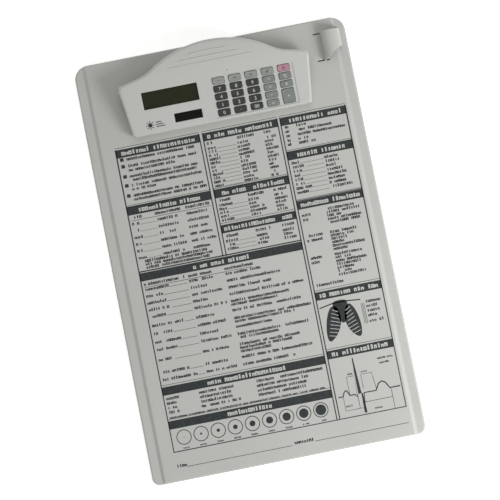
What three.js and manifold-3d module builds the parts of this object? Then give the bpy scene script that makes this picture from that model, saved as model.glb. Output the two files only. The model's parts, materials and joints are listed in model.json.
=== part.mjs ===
// A clipboard whose spring clip is a solar calculator, with a pen loop at one corner.
// Millimetres, +Z up. The board lies on z = 0, centred on the origin, with the clip
// towards +Y and its right-hand side towards +X.

import * as THREE from 'three';
import { mergeVertices } from 'three/addons/utils/BufferGeometryUtils.js';
import Module from 'manifold-3d';

const wasm = await Module();
wasm.setup();

// ---------------------------------------------------------------- driving dimensions

const gap = 0.3; // clearance between pieces that meet

// Board
const boardWidth = 240;
const boardLength = 370;
const topCornerRadius = 12;
const bottomCornerRadius = 7;
const bandWidth = 9.5; // lower band along each long side
const bandHeight = 5;
const stepRise = 1.6; // writing surface above the bands
const stepRun = 1.5;
const boardSkin = 3;
const skirtWidth = 4;
const ribWidth = 1.6;
const pocketColumns = 3;
const pocketRows = 5;

// Pen loop
const loopRadius = 8.75; // outside
const loopWall = 1.6;
const loopLeg = 1.5; // straight part of its sides above the writing surface
const loopLength = 25;
const loopCut = 12; // how much shorter the right-hand side is
const loopFromRight = 14.25; // loop axis to the board's right edge
const loopFromTop = 11.8; // loop end to the board's top edge
const slotWidth = 1.2;
const slotOverrun = 6; // slot showing beside the loop
const slotReach = 4.8; // slot hidden inside the loop
const tabThickness = 0.6;

// Clip hinge and base
const faceTilt = THREE.MathUtils.degToRad(14);
const leverEdgeMargin = 2.3; // lever tip inside the board's top edge
const pinRadius = 1;
const pinHead = 0.8;
const pinHeadRadius = 1.5;
const pinFit = 0.08; // running clearance in the housing lugs
const earRadius = 2.3;
const earThickness = 1.5;
const earWidth = 7;
const outerEarX = 46.75;
const innerEarX = 14;
const lugRadius = 2.5;
const lugThickness = 3;
const lugClearance = 1; // lug above the base plate
const baseThickness = 1.2;
const baseFront = 8; // base plate ahead of the pin
const baseRear = 10;
const baseMargin = 2.5; // base plate beyond the outer ears
const rivetX = 36;
const rivetFromEdge = 4.6;
const rivetRadius = 1.5;
const rivetHeadRadius = 2.4;
const rivetHeadHeight = 0.9;
const noseClearance = 1; // nose above the writing surface
const padWidth = 6;
const padInset = 0.5;
const padFromFront = 2.2;
const padEndMargin = 6;

// Torsion springs
const springX = 26;
const springTurns = 4;
const springWire = 0.9;
const springPitch = 1.08; // along the coil
const springCoilRadius = 1.85;
const springLeg = 5.6;

// Calculator face
const keyWidth = 10.4;
const keyHeight = 5.6;
const columnBridge = 3.93; // between two columns of keys
const rowBridge = 1.4;
const keyColumns = 5;
const keyRows = 5;
const lcdWidth = 48.9;
const lcdHeight = 15.2;
const lcdToKeys = 13.6;
const lcdToSolar = 7.8;
const solarWidth = 24.4;
const solarHeight = 7.8;
const frontReach = 27.5; // pin to the front edge of the face
const frontMargin = 4.1; // front edge to the keys
const solarFrontMargin = 6.4;
const rearMargin = 7.8; // keys to the rear shoulder
const sideTaper = 0.093; // growth in half width per millimetre towards the rear
const frontCornerRadius = 4;
const rearCornerRadius = 4;
const recessMarginX = 3.2;
const recessMarginY = 1.3;

// Lever
const leverReach = 25.7; // shoulder to lever tip
const leverRadius = 94.6;
const leverDroop = 3.2;
const kneeHalfWidth = 58; // where the lever's crown meets the shoulder
const kneeBlend = 7;
const ridgeCount = 3;
const ridgePitch = 5;
const ridgeWidth = 1.2;
const ridgeHeight = 0.5;
const ridgeLength = 64;
const ridgeShortening = 16;

// Housing walls and what is stacked under the face
const sideWall = 1.8;
const floorSkin = 1.6;
const faceSkin = 2;
const rimDepth = 5.2; // face to the parting line
const recessDepth = 0.6;
const keyProud = 0.5;
const keyTravel = 0.8;
const keyClearance = 0.3;
const keyCornerRadius = 1;
const flangeThickness = 0.5;
const flangeOverhang = 0.5;
const matThickness = 0.8;
const circuitThickness = 1;
const circuitMargin = 1; // beyond the keys, and before the rear wall
const matMarginX = 1.5;
const matMarginY = 0.8;
const pocketSkin = 1.4;
const pocketHalfLength = 6.5;
const pocketEndRoom = 2; // beyond the heads of the hinge pin
const undersideRoom = 3.4; // circuit board to the inside of the floor
const lcdThickness = 1.4;
const lensThickness = 1.1;
const lensSink = 0.4;
const solarThickness = 1;
const zebraWidth = 2;
const panelOverhang = 2;

// Button cell and its cover
const cellRadius = 5.8;
const cellHeight = 3.05;
const cellY = 0.8;
const cellToBoard = 0.9;
const cellToWall = 1.5;
const coverEndMargin = 0.6;
const coverTab = 4.6;
const coverBossReach = 2.2;
const contactThickness = 0.3;
const contactWidth = 4;

// Screws
const postRadius = 3;
const bossRadius = 2.6; // post under the face
const postToCover = 1.4;
const postToCircuit = 1;
const screwRadius = 0.9;
const screwHeadRadius = 2;
const screwHeadHeight = 1.2;
const screwSink = 0.3;
const screwToFace = 1;
const coverScrewRadius = 0.7;
const coverScrewHeadRadius = 1.4;
const coverScrewHeadHeight = 0.6;
const coverScrewLength = 2.6;

// ---------------------------------------------------------------- worked-out sizes

const plateauTop = bandHeight + stepRise;
const boardTopY = boardLength / 2;
const boardUnderside = plateauTop - boardSkin;

const columnPitch = keyWidth + columnBridge;
const rowPitch = keyHeight + rowBridge;
const keypadWidth = (keyColumns - 1) * columnPitch + keyWidth;
const keypadHeight = (keyRows - 1) * rowPitch + keyHeight;
const contentHalf = (lcdWidth + lcdToKeys + keypadWidth) / 2;
const lcdLeft = -contentHalf;
const lcdRight = lcdLeft + lcdWidth;
const keypadLeft = contentHalf - keypadWidth;
const circuitRight = contentHalf + circuitMargin;
const cellX = circuitRight + cellToBoard + cellRadius;
const sideMargin = cellX + cellRadius + cellToWall + sideWall - contentHalf;

// The clip is drawn in its own frame: origin on the pin, y along the face towards the
// lever, z square to the face.
const frontY = -frontReach;
const keypadFront = frontY + frontMargin;
const keypadRear = keypadFront + keypadHeight;
const shoulderY = keypadRear + rearMargin;
const tipY = shoulderY + leverReach;
const solarFront = frontY + solarFrontMargin;
const lcdFront = solarFront + solarHeight + lcdToSolar;

const pocketCeiling = earRadius + gap;
const circuitBottom = pocketCeiling + pocketSkin + gap;
const circuitTop = circuitBottom + circuitThickness;
const matBottom = circuitTop + gap;
const matTop = matBottom + matThickness;
const flangeBottom = matTop + gap + keyTravel;
const flangeTop = flangeBottom + flangeThickness;
const faceInside = flangeTop + gap;
const faceTop = faceInside + faceSkin;
const partingZ = faceTop - rimDepth;
const floorTop = circuitBottom - undersideRoom;
const floorBottom = floorTop - floorSkin;
const pocketHalfWidth = outerEarX + earThickness / 2 + pinHead + 2 * gap + pocketEndRoom;

const baseTop = plateauTop + gap + baseThickness;
const pivotZ = baseTop + lugClearance + lugRadius;
const tipTop = faceTop - leverDroop;
const tipReach = tipY * Math.cos(faceTilt) - tipTop * Math.sin(faceTilt);
const pivotY = boardTopY - leverEdgeMargin - tipReach;
const noseZ = plateauTop + noseClearance;

const halfWidthAt = (y) => contentHalf + sideMargin + y * sideTaper;

// ---------------------------------------------------------------- materials

const finish = (color, roughness, metalness = 0) =>
  new THREE.MeshStandardMaterial({ color, roughness, metalness });

const shellPlastic = finish(0xbcbdb7, 0.55);
const darkKeyPlastic = finish(0x4a4d50, 0.5);
const greyKeyPlastic = finish(0x8f9590, 0.5);
const lightKeyPlastic = finish(0xa9aca6, 0.5);
const redKeyPlastic = finish(0xb0788a, 0.5);
const clearPlastic = finish(0x4a4f38, 0.15);
const darkGlass = finish(0x33371f, 0.25);
const solarGlass = finish(0x0e0f12, 0.2);
const springSteel = finish(0x9a9c9e, 0.35, 1);
const platedSteel = finish(0xb4b6b8, 0.3, 1);
const rubber = finish(0x3c3d3e, 0.85);
const fibreglass = finish(0x3f6b45, 0.6);

// ---------------------------------------------------------------- solids

function toSolid(geometry) {
  const plain = geometry.clone();
  plain.deleteAttribute('normal');
  plain.deleteAttribute('uv');
  const merged = mergeVertices(plain, 1e-4);
  return new wasm.Manifold(
    new wasm.Mesh({
      numProp: 3,
      vertProperties: new Float32Array(merged.attributes.position.array),
      triVerts: new Uint32Array(merged.index.array),
    })
  );
}

function toGeometry(solid) {
  const mesh = solid.getMesh();
  const geometry = new THREE.BufferGeometry();
  geometry.setAttribute('position', new THREE.BufferAttribute(mesh.vertProperties, 3));
  geometry.setIndex(new THREE.BufferAttribute(mesh.triVerts, 1));
  return geometry;
}

const join = (first, ...others) => others.reduce((sum, next) => sum.add(next), first);
const cut = (first, ...others) => others.reduce((rest, next) => rest.subtract(next), first);

// A block between two corners.
function block(x0, x1, y0, y1, z0, z1) {
  const geometry = new THREE.BoxGeometry(x1 - x0, y1 - y0, z1 - z0);
  geometry.translate((x0 + x1) / 2, (y0 + y1) / 2, (z0 + z1) / 2);
  return toSolid(geometry);
}

// A flat outline in x and y, raised from z0 to z1.
function prism(shape, z0, z1, curveSegments = 6) {
  const geometry = new THREE.ExtrudeGeometry(shape, {
    depth: z1 - z0,
    bevelEnabled: false,
    curveSegments,
  });
  geometry.translate(0, 0, z0);
  return toSolid(geometry);
}

// A side view in y and z, drawn out from x0 to x1.
function prismAlongX(shape, x0, x1, curveSegments = 8) {
  const geometry = new THREE.ExtrudeGeometry(shape, {
    depth: x1 - x0,
    bevelEnabled: false,
    curveSegments,
  });
  const turn = new THREE.Matrix4().makeBasis(
    new THREE.Vector3(0, 1, 0),
    new THREE.Vector3(0, 0, 1),
    new THREE.Vector3(1, 0, 0)
  );
  geometry.applyMatrix4(turn);
  geometry.translate(x0, 0, 0);
  return toSolid(geometry);
}

// An end view in x and z, drawn out from y0 to y1.
function prismAlongY(shape, y0, y1, curveSegments = 8) {
  const geometry = new THREE.ExtrudeGeometry(shape, {
    depth: y1 - y0,
    bevelEnabled: false,
    curveSegments,
  });
  geometry.rotateX(Math.PI / 2);
  geometry.translate(0, y1, 0);
  return toSolid(geometry);
}

// A round bar along z, from z0 to z1.
function disc(x, y, radius, z0, z1, sides = 16) {
  const geometry = new THREE.CylinderGeometry(radius, radius, z1 - z0, sides);
  geometry.rotateX(Math.PI / 2);
  geometry.translate(x, y, (z0 + z1) / 2);
  return toSolid(geometry);
}

// A round bar along x, from x0 to x1, about the line y, z.
function bar(x0, x1, y, z, radius, sides = 20) {
  const geometry = new THREE.CylinderGeometry(radius, radius, x1 - x0, sides);
  geometry.rotateZ(Math.PI / 2);
  geometry.translate((x0 + x1) / 2, y, z);
  return toSolid(geometry);
}

function polygon(points) {
  return new THREE.Shape(points.map(([x, y]) => new THREE.Vector2(x, y)));
}

function roundedRect(x0, x1, y0, y1, radius) {
  const shape = new THREE.Shape();
  shape.moveTo(x0 + radius, y0);
  shape.lineTo(x1 - radius, y0);
  shape.absarc(x1 - radius, y0 + radius, radius, -Math.PI / 2, 0);
  shape.lineTo(x1, y1 - radius);
  shape.absarc(x1 - radius, y1 - radius, radius, 0, Math.PI / 2);
  shape.lineTo(x0 + radius, y1);
  shape.absarc(x0 + radius, y1 - radius, radius, Math.PI / 2, Math.PI);
  shape.lineTo(x0, y0 + radius);
  shape.absarc(x0 + radius, y0 + radius, radius, Math.PI, 1.5 * Math.PI);
  return shape;
}

// ---------------------------------------------------------------- scene graph

const clipboard = new THREE.Group();
const clip = new THREE.Group();
clip.position.set(0, pivotY, pivotZ);
clip.rotation.x = faceTilt;
clipboard.add(clip);

function addPiece(parent, name, solid, material) {
  const mesh = new THREE.Mesh(toGeometry(solid), material);
  mesh.name = name;
  parent.add(mesh);
  return mesh;
}

// ---------------------------------------------------------------- board

function boardOutline() {
  const x = boardWidth / 2;
  const y = boardLength / 2;
  const top = topCornerRadius;
  const bottom = bottomCornerRadius;
  const shape = new THREE.Shape();
  shape.moveTo(-x + bottom, -y);
  shape.lineTo(x - bottom, -y);
  shape.absarc(x - bottom, -y + bottom, bottom, -Math.PI / 2, 0);
  shape.lineTo(x, y - top);
  shape.absarc(x - top, y - top, top, 0, Math.PI / 2);
  shape.lineTo(-x + top, y);
  shape.absarc(-x + top, y - top, top, Math.PI / 2, Math.PI);
  shape.lineTo(-x, -y + bottom);
  shape.absarc(-x + bottom, -y + bottom, bottom, Math.PI, 1.5 * Math.PI);
  return shape;
}

function boardSection() {
  const edge = boardWidth / 2 + 1;
  const stepFoot = boardWidth / 2 - bandWidth + stepRun / 2;
  const stepHead = stepFoot - stepRun;
  return polygon([
    [-edge, 0],
    [edge, 0],
    [edge, bandHeight],
    [stepFoot, bandHeight],
    [stepHead, plateauTop],
    [-stepHead, plateauTop],
    [-stepFoot, bandHeight],
    [-edge, bandHeight],
  ]);
}

function boardPockets() {
  const halfWidth = boardWidth / 2 - bandWidth - skirtWidth;
  const halfLength = boardLength / 2 - skirtWidth;
  const pocketWidth = (2 * halfWidth - (pocketColumns - 1) * ribWidth) / pocketColumns;
  const pocketLength = (2 * halfLength - (pocketRows - 1) * ribWidth) / pocketRows;
  const pockets = [];
  for (let column = 0; column < pocketColumns; column++) {
    for (let row = 0; row < pocketRows; row++) {
      const x = -halfWidth + column * (pocketWidth + ribWidth);
      const y = -halfLength + row * (pocketLength + ribWidth);
      pockets.push(block(x, x + pocketWidth, y, y + pocketLength, -1, boardUnderside));
    }
  }
  return pockets;
}

const loopX = boardWidth / 2 - loopFromRight;
const loopTop = boardTopY - loopFromTop;
const loopBottom = loopTop - loopLength;
const slotYs = [loopTop - slotWidth / 2, loopBottom + slotWidth / 2];

function penLoopSlots() {
  const left = loopX - loopRadius - slotOverrun;
  const right = loopX - loopRadius + slotReach;
  return slotYs.map((y) =>
    block(left, right, y - slotWidth / 2, y + slotWidth / 2, -1, plateauTop + 1)
  );
}

const rivetPlaces = [];
for (const side of [-1, 1]) {
  rivetPlaces.push([side * rivetX, pivotY - baseFront + rivetFromEdge]);
  rivetPlaces.push([side * rivetX, pivotY + baseRear - rivetFromEdge]);
}

function makeBoard() {
  const slab = prism(boardOutline(), 0, plateauTop, 8).intersect(
    prismAlongY(boardSection(), -boardLength, boardLength)
  );
  const rivetHoles = rivetPlaces.map(([x, y]) =>
    join(
      disc(x, y, rivetRadius + gap, -1, plateauTop + 1, 12),
      disc(x, y, rivetHeadRadius + gap, -1, boardUnderside, 12)
    )
  );
  return cut(slab, ...boardPockets(), ...penLoopSlots(), ...rivetHoles);
}

addPiece(clipboard, 'board', makeBoard(), shellPlastic);

// ---------------------------------------------------------------- pen loop

// A tunnel with a round roof. Its left side stands on the writing surface and its right
// side on the lower band, and its mouth is cut back towards the right.
function makePenLoop() {
  const inner = loopRadius - loopWall;
  const springLine = plateauTop + loopLeg;
  const leftFoot = plateauTop + gap;
  const rightFoot = bandHeight + gap;
  const section = new THREE.Shape();
  section.moveTo(loopX + loopRadius, rightFoot);
  section.lineTo(loopX + loopRadius, springLine);
  section.absarc(loopX, springLine, loopRadius, 0, Math.PI);
  section.lineTo(loopX - loopRadius, leftFoot);
  section.lineTo(loopX - inner, leftFoot);
  section.absarc(loopX, springLine, inner, Math.PI, 0, true);
  section.lineTo(loopX + inner, rightFoot);
  const tunnel = prismAlongY(section, loopBottom, loopTop, 12);

  const far = loopRadius + 1;
  const slope = loopCut / (2 * loopRadius);
  const mouth = polygon([
    [loopX - loopRadius + loopWall, loopBottom - 1],
    [loopX + far, loopBottom - 1],
    [loopX + far, loopBottom + slope * (far + loopRadius - loopWall)],
    [loopX - loopRadius + loopWall, loopBottom],
  ]);
  const tabs = slotYs.map((y) =>
    block(
      loopX - loopRadius,
      loopX - inner,
      y - tabThickness / 2,
      y + tabThickness / 2,
      boardUnderside,
      springLine
    )
  );
  return join(cut(tunnel, prism(mouth, 0, springLine + far)), ...tabs);
}

addPiece(clipboard, 'pen_loop', makePenLoop(), shellPlastic);

// ---------------------------------------------------------------- clip base

function makeEar(x) {
  const half = earWidth / 2;
  const shape = new THREE.Shape();
  shape.moveTo(-half, baseTop - pivotZ - baseThickness / 2);
  shape.lineTo(half, baseTop - pivotZ - baseThickness / 2);
  shape.lineTo(earRadius, 0);
  shape.absarc(0, 0, earRadius, 0, Math.PI);
  shape.lineTo(-half, baseTop - pivotZ - baseThickness / 2);
  return prismAlongX(shape, x - earThickness / 2, x + earThickness / 2);
}

const earPlaces = [-outerEarX, -innerEarX, innerEarX, outerEarX];

function makeClipBase() {
  const halfWidth = outerEarX + baseMargin;
  const plateBottom = baseTop - pivotZ - baseThickness;
  const plateTop = baseTop - pivotZ;
  const plate = block(-halfWidth, halfWidth, -baseFront, baseRear, plateBottom, plateTop);
  const pinHole = bar(-halfWidth, halfWidth, 0, 0, pinRadius + pinFit);
  const rivetHoles = rivetPlaces.map(([x, y]) =>
    disc(x, y - pivotY, rivetRadius + gap, plateBottom - 1, plateTop + 1, 12)
  );
  return cut(join(plate, ...earPlaces.map(makeEar)), pinHole, ...rivetHoles);
}

const base = addPiece(clipboard, 'clip_base', makeClipBase(), platedSteel);
base.position.set(0, pivotY, pivotZ);

function makeRivet() {
  const upperSeat = baseTop + gap;
  const lowerSeat = boardUnderside - gap;
  return join(
    disc(0, 0, rivetRadius, lowerSeat - rivetHeadHeight, upperSeat + rivetHeadHeight),
    disc(0, 0, rivetHeadRadius, upperSeat, upperSeat + rivetHeadHeight),
    disc(0, 0, rivetHeadRadius, lowerSeat - rivetHeadHeight, lowerSeat)
  );
}

rivetPlaces.forEach(([x, y], index) => {
  const rivet = addPiece(clipboard, `base_rivet_${index + 1}`, makeRivet(), platedSteel);
  rivet.position.set(x, y, 0);
});

function makeHingePin() {
  const half = outerEarX + earThickness / 2 + gap;
  return join(
    bar(-half - pinHead, half + pinHead, 0, 0, pinRadius),
    bar(-half - pinHead, -half, 0, 0, pinHeadRadius),
    bar(half, half + pinHead, 0, 0, pinHeadRadius)
  );
}

const pin = addPiece(clipboard, 'hinge_pin', makeHingePin(), platedSteel);
pin.position.set(0, pivotY, pivotZ);

// ---------------------------------------------------------------- torsion springs

// One wire: a leg from the base, the coil, and a leg that lifts the lever end.
function makeSpring() {
  const stepsPerTurn = 10;
  const sweep = springTurns + 0.5;
  const steps = Math.round(sweep * stepsPerTurn);
  const length = springPitch * sweep;
  const points = [new THREE.Vector3(-length / 2, springLeg, -springCoilRadius - gap)];
  for (let step = 0; step <= steps; step++) {
    const turned = step / stepsPerTurn;
    const angle = -Math.PI / 2 - turned * 2 * Math.PI;
    points.push(
      new THREE.Vector3(
        -length / 2 + springPitch * turned,
        springCoilRadius * Math.cos(angle),
        springCoilRadius * Math.sin(angle)
      )
    );
  }
  const legRise = springLeg * Math.sin(faceTilt);
  points.push(new THREE.Vector3(length / 2, springLeg, springCoilRadius + legRise));
  const wire = new THREE.Shape();
  wire.absarc(0, 0, springWire / 2, 0, 2 * Math.PI);
  return new THREE.ExtrudeGeometry(wire, {
    steps: steps + 4,
    curveSegments: 3,
    bevelEnabled: false,
    extrudePath: new THREE.CatmullRomCurve3(points),
  });
}

for (const [name, side] of [['left', -1], ['right', 1]]) {
  const solid = toSolid(makeSpring());
  const spring = addPiece(clipboard, `torsion_spring_${name}`, solid, springSteel);
  spring.position.set(side * springX, pivotY, pivotZ);
}

// ---------------------------------------------------------------- housing outlines

// Plan of the calculator body with its lever, drawn in from the edge by an inset.
function leverOutline(inset) {
  const front = frontY + inset;
  const rear = shoulderY - inset;
  const radius = leverRadius - inset;
  const centreY = tipY - leverRadius;
  const frontHalf = halfWidthAt(front) - inset;
  const rearHalf = halfWidthAt(rear) - inset;
  const frontRound = frontCornerRadius - inset / 2;
  const rearRound = rearCornerRadius - inset / 2;
  const knee = kneeHalfWidth - inset;
  const kneeY = centreY + Math.sqrt(radius * radius - knee * knee);
  const crownX = knee - kneeBlend;
  const crownAngle = Math.acos(crownX / radius);
  const shoulderSlope = (kneeY - rear) / (rearHalf - knee);
  const blendX = knee + kneeBlend;
  const blendY = kneeY - shoulderSlope * kneeBlend;
  const turnX = rearHalf - rearRound;
  const turnY = rear + shoulderSlope * rearRound;
  const shape = new THREE.Shape();
  shape.moveTo(-frontHalf + frontRound, front);
  shape.lineTo(frontHalf - frontRound, front);
  shape.quadraticCurveTo(frontHalf, front, frontHalf, front + frontRound);
  shape.lineTo(rearHalf, rear - rearRound);
  shape.quadraticCurveTo(rearHalf, rear, turnX, turnY);
  shape.lineTo(blendX, blendY);
  shape.quadraticCurveTo(knee, kneeY, crownX, centreY + radius * Math.sin(crownAngle));
  shape.absarc(0, centreY, radius, crownAngle, Math.PI - crownAngle);
  shape.quadraticCurveTo(-knee, kneeY, -blendX, blendY);
  shape.lineTo(-turnX, turnY);
  shape.quadraticCurveTo(-rearHalf, rear, -rearHalf, rear - rearRound);
  shape.lineTo(-frontHalf, front + frontRound);
  shape.quadraticCurveTo(-frontHalf, front, -frontHalf + frontRound, front);
  return shape;
}

// Plan of the lower half, which stops at the shoulder.
function bodyOutline(inset) {
  const front = frontY + inset;
  const rear = shoulderY - inset;
  const frontHalf = halfWidthAt(front) - inset;
  const rearHalf = halfWidthAt(rear) - inset;
  const frontRound = frontCornerRadius - inset / 2;
  const rearRound = rearCornerRadius - inset / 2;
  const shape = new THREE.Shape();
  shape.moveTo(-frontHalf + frontRound, front);
  shape.lineTo(frontHalf - frontRound, front);
  shape.quadraticCurveTo(frontHalf, front, frontHalf, front + frontRound);
  shape.lineTo(rearHalf, rear - rearRound);
  shape.quadraticCurveTo(rearHalf, rear, rearHalf - rearRound, rear);
  shape.lineTo(-rearHalf + rearRound, rear);
  shape.quadraticCurveTo(-rearHalf, rear, -rearHalf, rear - rearRound);
  shape.lineTo(-frontHalf, front + frontRound);
  shape.quadraticCurveTo(-frontHalf, front, -frontHalf + frontRound, front);
  return shape;
}

// Height of the top surface: flat over the calculator, falling away along the lever.
function topHeight(y) {
  const along = Math.max(0, y - shoulderY) / leverReach;
  return faceTop - leverDroop * along * along;
}

// Side view of the band between two depths below the top surface.
function topBand(upper, lower) {
  const steps = 6;
  const upperEdge = [[frontY - 1, faceTop - upper]];
  const lowerEdge = [[frontY - 1, faceTop - lower]];
  for (let step = 0; step <= steps; step++) {
    const y = shoulderY + (leverReach * step) / steps;
    upperEdge.push([y, topHeight(y) - upper]);
    lowerEdge.push([y, topHeight(y) - lower]);
  }
  upperEdge.push([tipY + 1, tipTop - upper]);
  lowerEdge.push([tipY + 1, tipTop - lower]);
  return polygon([...lowerEdge, ...upperEdge.reverse()]);
}

const widest = halfWidthAt(shoulderY) + 5; // for cutters that pass both sides
const cutterReach = 80;

// ---------------------------------------------------------------- keys

const keyNames = [
  ['0', 'point', 'double_zero', 'equals'],
  ['1', '2', '3', 'minus', 'plus'],
  ['4', '5', '6', 'times', 'sign'],
  ['7', '8', '9', 'divide', 'percent'],
  ['memory_minus', 'memory_recall', 'memory_plus', 'square_root', 'clear'],
];

// The plus key is two rows tall and fills the front corner of the pad.
const keys = [];
keyNames.forEach((names, row) => {
  names.forEach((name, column) => {
    const tall = name === 'plus';
    const x = keypadLeft + keyWidth / 2 + column * columnPitch;
    const y = keypadFront + keyHeight / 2 + row * rowPitch;
    keys.push({
      name: `key_${name}`,
      column,
      row,
      x,
      y: tall ? y - rowPitch / 2 : y,
      height: tall ? keyHeight + rowPitch : keyHeight,
    });
  });
});

function keyMaterial(key) {
  if (key.name === 'key_clear') return redKeyPlastic;
  if (key.row === keyRows - 1) return lightKeyPlastic;
  return key.column < 3 ? darkKeyPlastic : greyKeyPlastic;
}

function keyBlock(key, grow, radius, z0, z1) {
  const x = keyWidth / 2 + grow;
  const y = key.height / 2 + grow;
  return prism(roundedRect(key.x - x, key.x + x, key.y - y, key.y + y, radius), z0, z1, 1);
}

for (const key of keys) {
  const cap = keyBlock(key, 0, keyCornerRadius, flangeBottom, faceTop + keyProud);
  const flange = keyBlock(key, flangeOverhang, keyCornerRadius, flangeBottom, flangeTop);
  addPiece(clip, key.name, join(cap, flange), keyMaterial(key));
}

// ---------------------------------------------------------------- screws

const postPlaces = [];
const coverRear = cellY + cellRadius + coverEndMargin;
const hatchFront = cellY - cellRadius - coverEndMargin;
const coverFront = hatchFront - coverTab;
for (const side of [-1, 1]) {
  postPlaces.push([side * cellX, coverFront - postRadius - postToCover]);
  postPlaces.push([side * cellX, shoulderY - sideWall - postRadius - gap]);
}
const postTop = circuitBottom - postToCircuit;
const screwSeat = floorBottom + screwSink + screwHeadHeight;
const screwTip = faceInside - screwToFace;

function makeCaseScrew() {
  return join(
    disc(0, 0, screwRadius, screwSeat - screwHeadHeight, screwTip, 10),
    disc(0, 0, screwHeadRadius, screwSeat - screwHeadHeight, screwSeat, 14)
  );
}

postPlaces.forEach(([x, y], index) => {
  const screw = addPiece(clip, `case_screw_${index + 1}`, makeCaseScrew(), platedSteel);
  screw.position.set(x, y, 0);
});

// ---------------------------------------------------------------- top housing

function makeRidges() {
  const ridges = [];
  for (let index = 0; index < ridgeCount; index++) {
    const y = shoulderY + leverReach / 3 + index * ridgePitch;
    const half = (ridgeLength - index * ridgeShortening) / 2;
    const top = topHeight(y + ridgeWidth / 2) + ridgeHeight;
    const bottom = topHeight(y) - faceSkin / 2;
    ridges.push(block(-half, half, y - ridgeWidth / 2, y + ridgeWidth / 2, bottom, top));
  }
  return ridges;
}

function makeTopHousing() {
  const outside = prism(leverOutline(0), 0, faceTop + 1, 10).intersect(
    prismAlongX(topBand(0, rimDepth), -widest, widest)
  );
  const inside = prism(leverOutline(sideWall), -10, faceTop, 10).intersect(
    prismAlongX(topBand(faceSkin, rimDepth + 10), -widest, widest)
  );
  const crossWall = block(
    sideWall / 2 - halfWidthAt(shoulderY),
    halfWidthAt(shoulderY) - sideWall / 2,
    shoulderY - sideWall,
    shoulderY,
    partingZ,
    faceInside + faceSkin / 2
  );
  const bosses = postPlaces.map(([x, y]) =>
    disc(x, y, bossRadius, postTop + gap, faceInside + faceSkin / 2, 14)
  );
  const screwHoles = postPlaces.map(([x, y]) =>
    disc(x, y, screwRadius + gap, 0, screwTip + gap, 10)
  );
  const recess = roundedRect(
    keypadLeft - recessMarginX,
    contentHalf + recessMarginX,
    keypadFront - recessMarginY,
    keypadRear + recessMarginY,
    recessMarginX / 2
  );
  const recessFloor = faceTop - recessDepth;
  const lcdWindow = block(
    lcdLeft,
    lcdRight,
    lcdFront,
    lcdFront + lcdHeight,
    faceInside - 1,
    faceTop + 1
  );
  const solarOpening = block(
    lcdRight - solarWidth,
    lcdRight,
    solarFront,
    solarFront + solarHeight,
    faceInside - 1,
    faceTop + 1
  );
  const keyOpenings = keys.map((key) =>
    keyBlock(key, keyClearance, keyCornerRadius, faceInside - 1, faceTop + 1)
  );
  const shell = join(cut(outside, inside), crossWall, ...bosses, ...makeRidges());
  return cut(
    shell,
    prism(recess, recessFloor, faceTop + 1, 3),
    lcdWindow,
    solarOpening,
    ...keyOpenings,
    ...screwHoles
  );
}

addPiece(clip, 'top_housing', makeTopHousing(), shellPlastic);

// ---------------------------------------------------------------- bottom housing

// A block given level with the board, brought into the clip's own frame.
function levelBlock(x0, x1, y0, y1, z0, z1) {
  const geometry = new THREE.BoxGeometry(x1 - x0, y1 - y0, z1 - z0);
  geometry.translate((x0 + x1) / 2, (y0 + y1) / 2, (z0 + z1) / 2 - pivotZ);
  geometry.rotateX(-faceTilt);
  return toSolid(geometry);
}

const padFront = frontY * Math.cos(faceTilt) + padFromFront;
const padHalfLength = halfWidthAt(frontY) - padEndMargin;

function makeBottomHousing() {
  const rimTop = partingZ - gap;
  const pocketX = pocketHalfWidth;
  const pocketY = pocketHalfLength;
  const outside = prism(bodyOutline(0), floorBottom, rimTop);
  const cavity = cut(
    prism(bodyOutline(sideWall), floorTop, rimTop + 1),
    levelBlock(-widest, widest, -cutterReach, cutterReach, -cutterReach, noseZ + floorSkin)
  );
  const pocketWalls = block(
    -pocketX - sideWall,
    pocketX + sideWall,
    -pocketY - sideWall,
    pocketY + sideWall,
    floorBottom,
    pocketCeiling + pocketSkin
  );
  const pocket = block(-pocketX, pocketX, -pocketY, pocketY, floorBottom - 4, pocketCeiling);
  const posts = postPlaces.map(([x, y]) => disc(x, y, postRadius, floorBottom, postTop, 14));
  const coverBoss = block(
    cellX - coverBossReach,
    halfWidthAt(coverFront) - sideWall / 2,
    coverFront,
    hatchFront,
    floorTop + gap,
    floorTop + gap + coverScrewLength
  );
  const coverHole = block(
    cellX - cellRadius - gap,
    cellX + cellRadius + gap,
    coverFront,
    coverRear,
    floorBottom - 1,
    floorTop + gap
  );
  const shell = join(cut(outside, cavity), pocketWalls, ...posts);
  const opened = cut(shell, pocket, coverHole);
  const lugPlaces = earPlaces.map((x) => {
    const inward = Math.abs(x) === outerEarX ? -1 : 1;
    return x + Math.sign(x) * inward * (earThickness / 2 + lugThickness / 2 + gap);
  });
  const lugs = lugPlaces.map((x) => {
    const half = lugThickness / 2;
    return join(
      bar(x - half, x + half, 0, 0, lugRadius),
      block(x - half, x + half, -lugRadius, lugRadius, 0, pocketCeiling + pocketSkin / 2)
    );
  });
  const screwHoles = postPlaces.map(([x, y]) =>
    join(
      disc(x, y, screwRadius + gap, -5, postTop + 1, 10),
      disc(x, y, screwHeadRadius + gap, floorBottom - 3, screwSeat + gap, 14)
    )
  );
  const coverScrewHole = disc(
    cellX,
    coverFront + coverTab / 2,
    coverScrewRadius + gap,
    floorBottom - 1,
    floorTop + coverScrewLength,
    10
  );
  const groove = levelBlock(
    -padHalfLength - gap,
    padHalfLength + gap,
    padFront - gap,
    padFront + padWidth + gap,
    noseZ - 5,
    noseZ + padInset + gap
  );
  return cut(
    join(opened, coverBoss, ...lugs),
    bar(-pocketX, pocketX, 0, 0, pinRadius + pinFit),
    levelBlock(-widest, widest, -cutterReach, -pocketY - sideWall, -cutterReach, noseZ),
    groove,
    coverScrewHole,
    ...screwHoles
  );
}

addPiece(clip, 'bottom_housing', makeBottomHousing(), shellPlastic);

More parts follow.
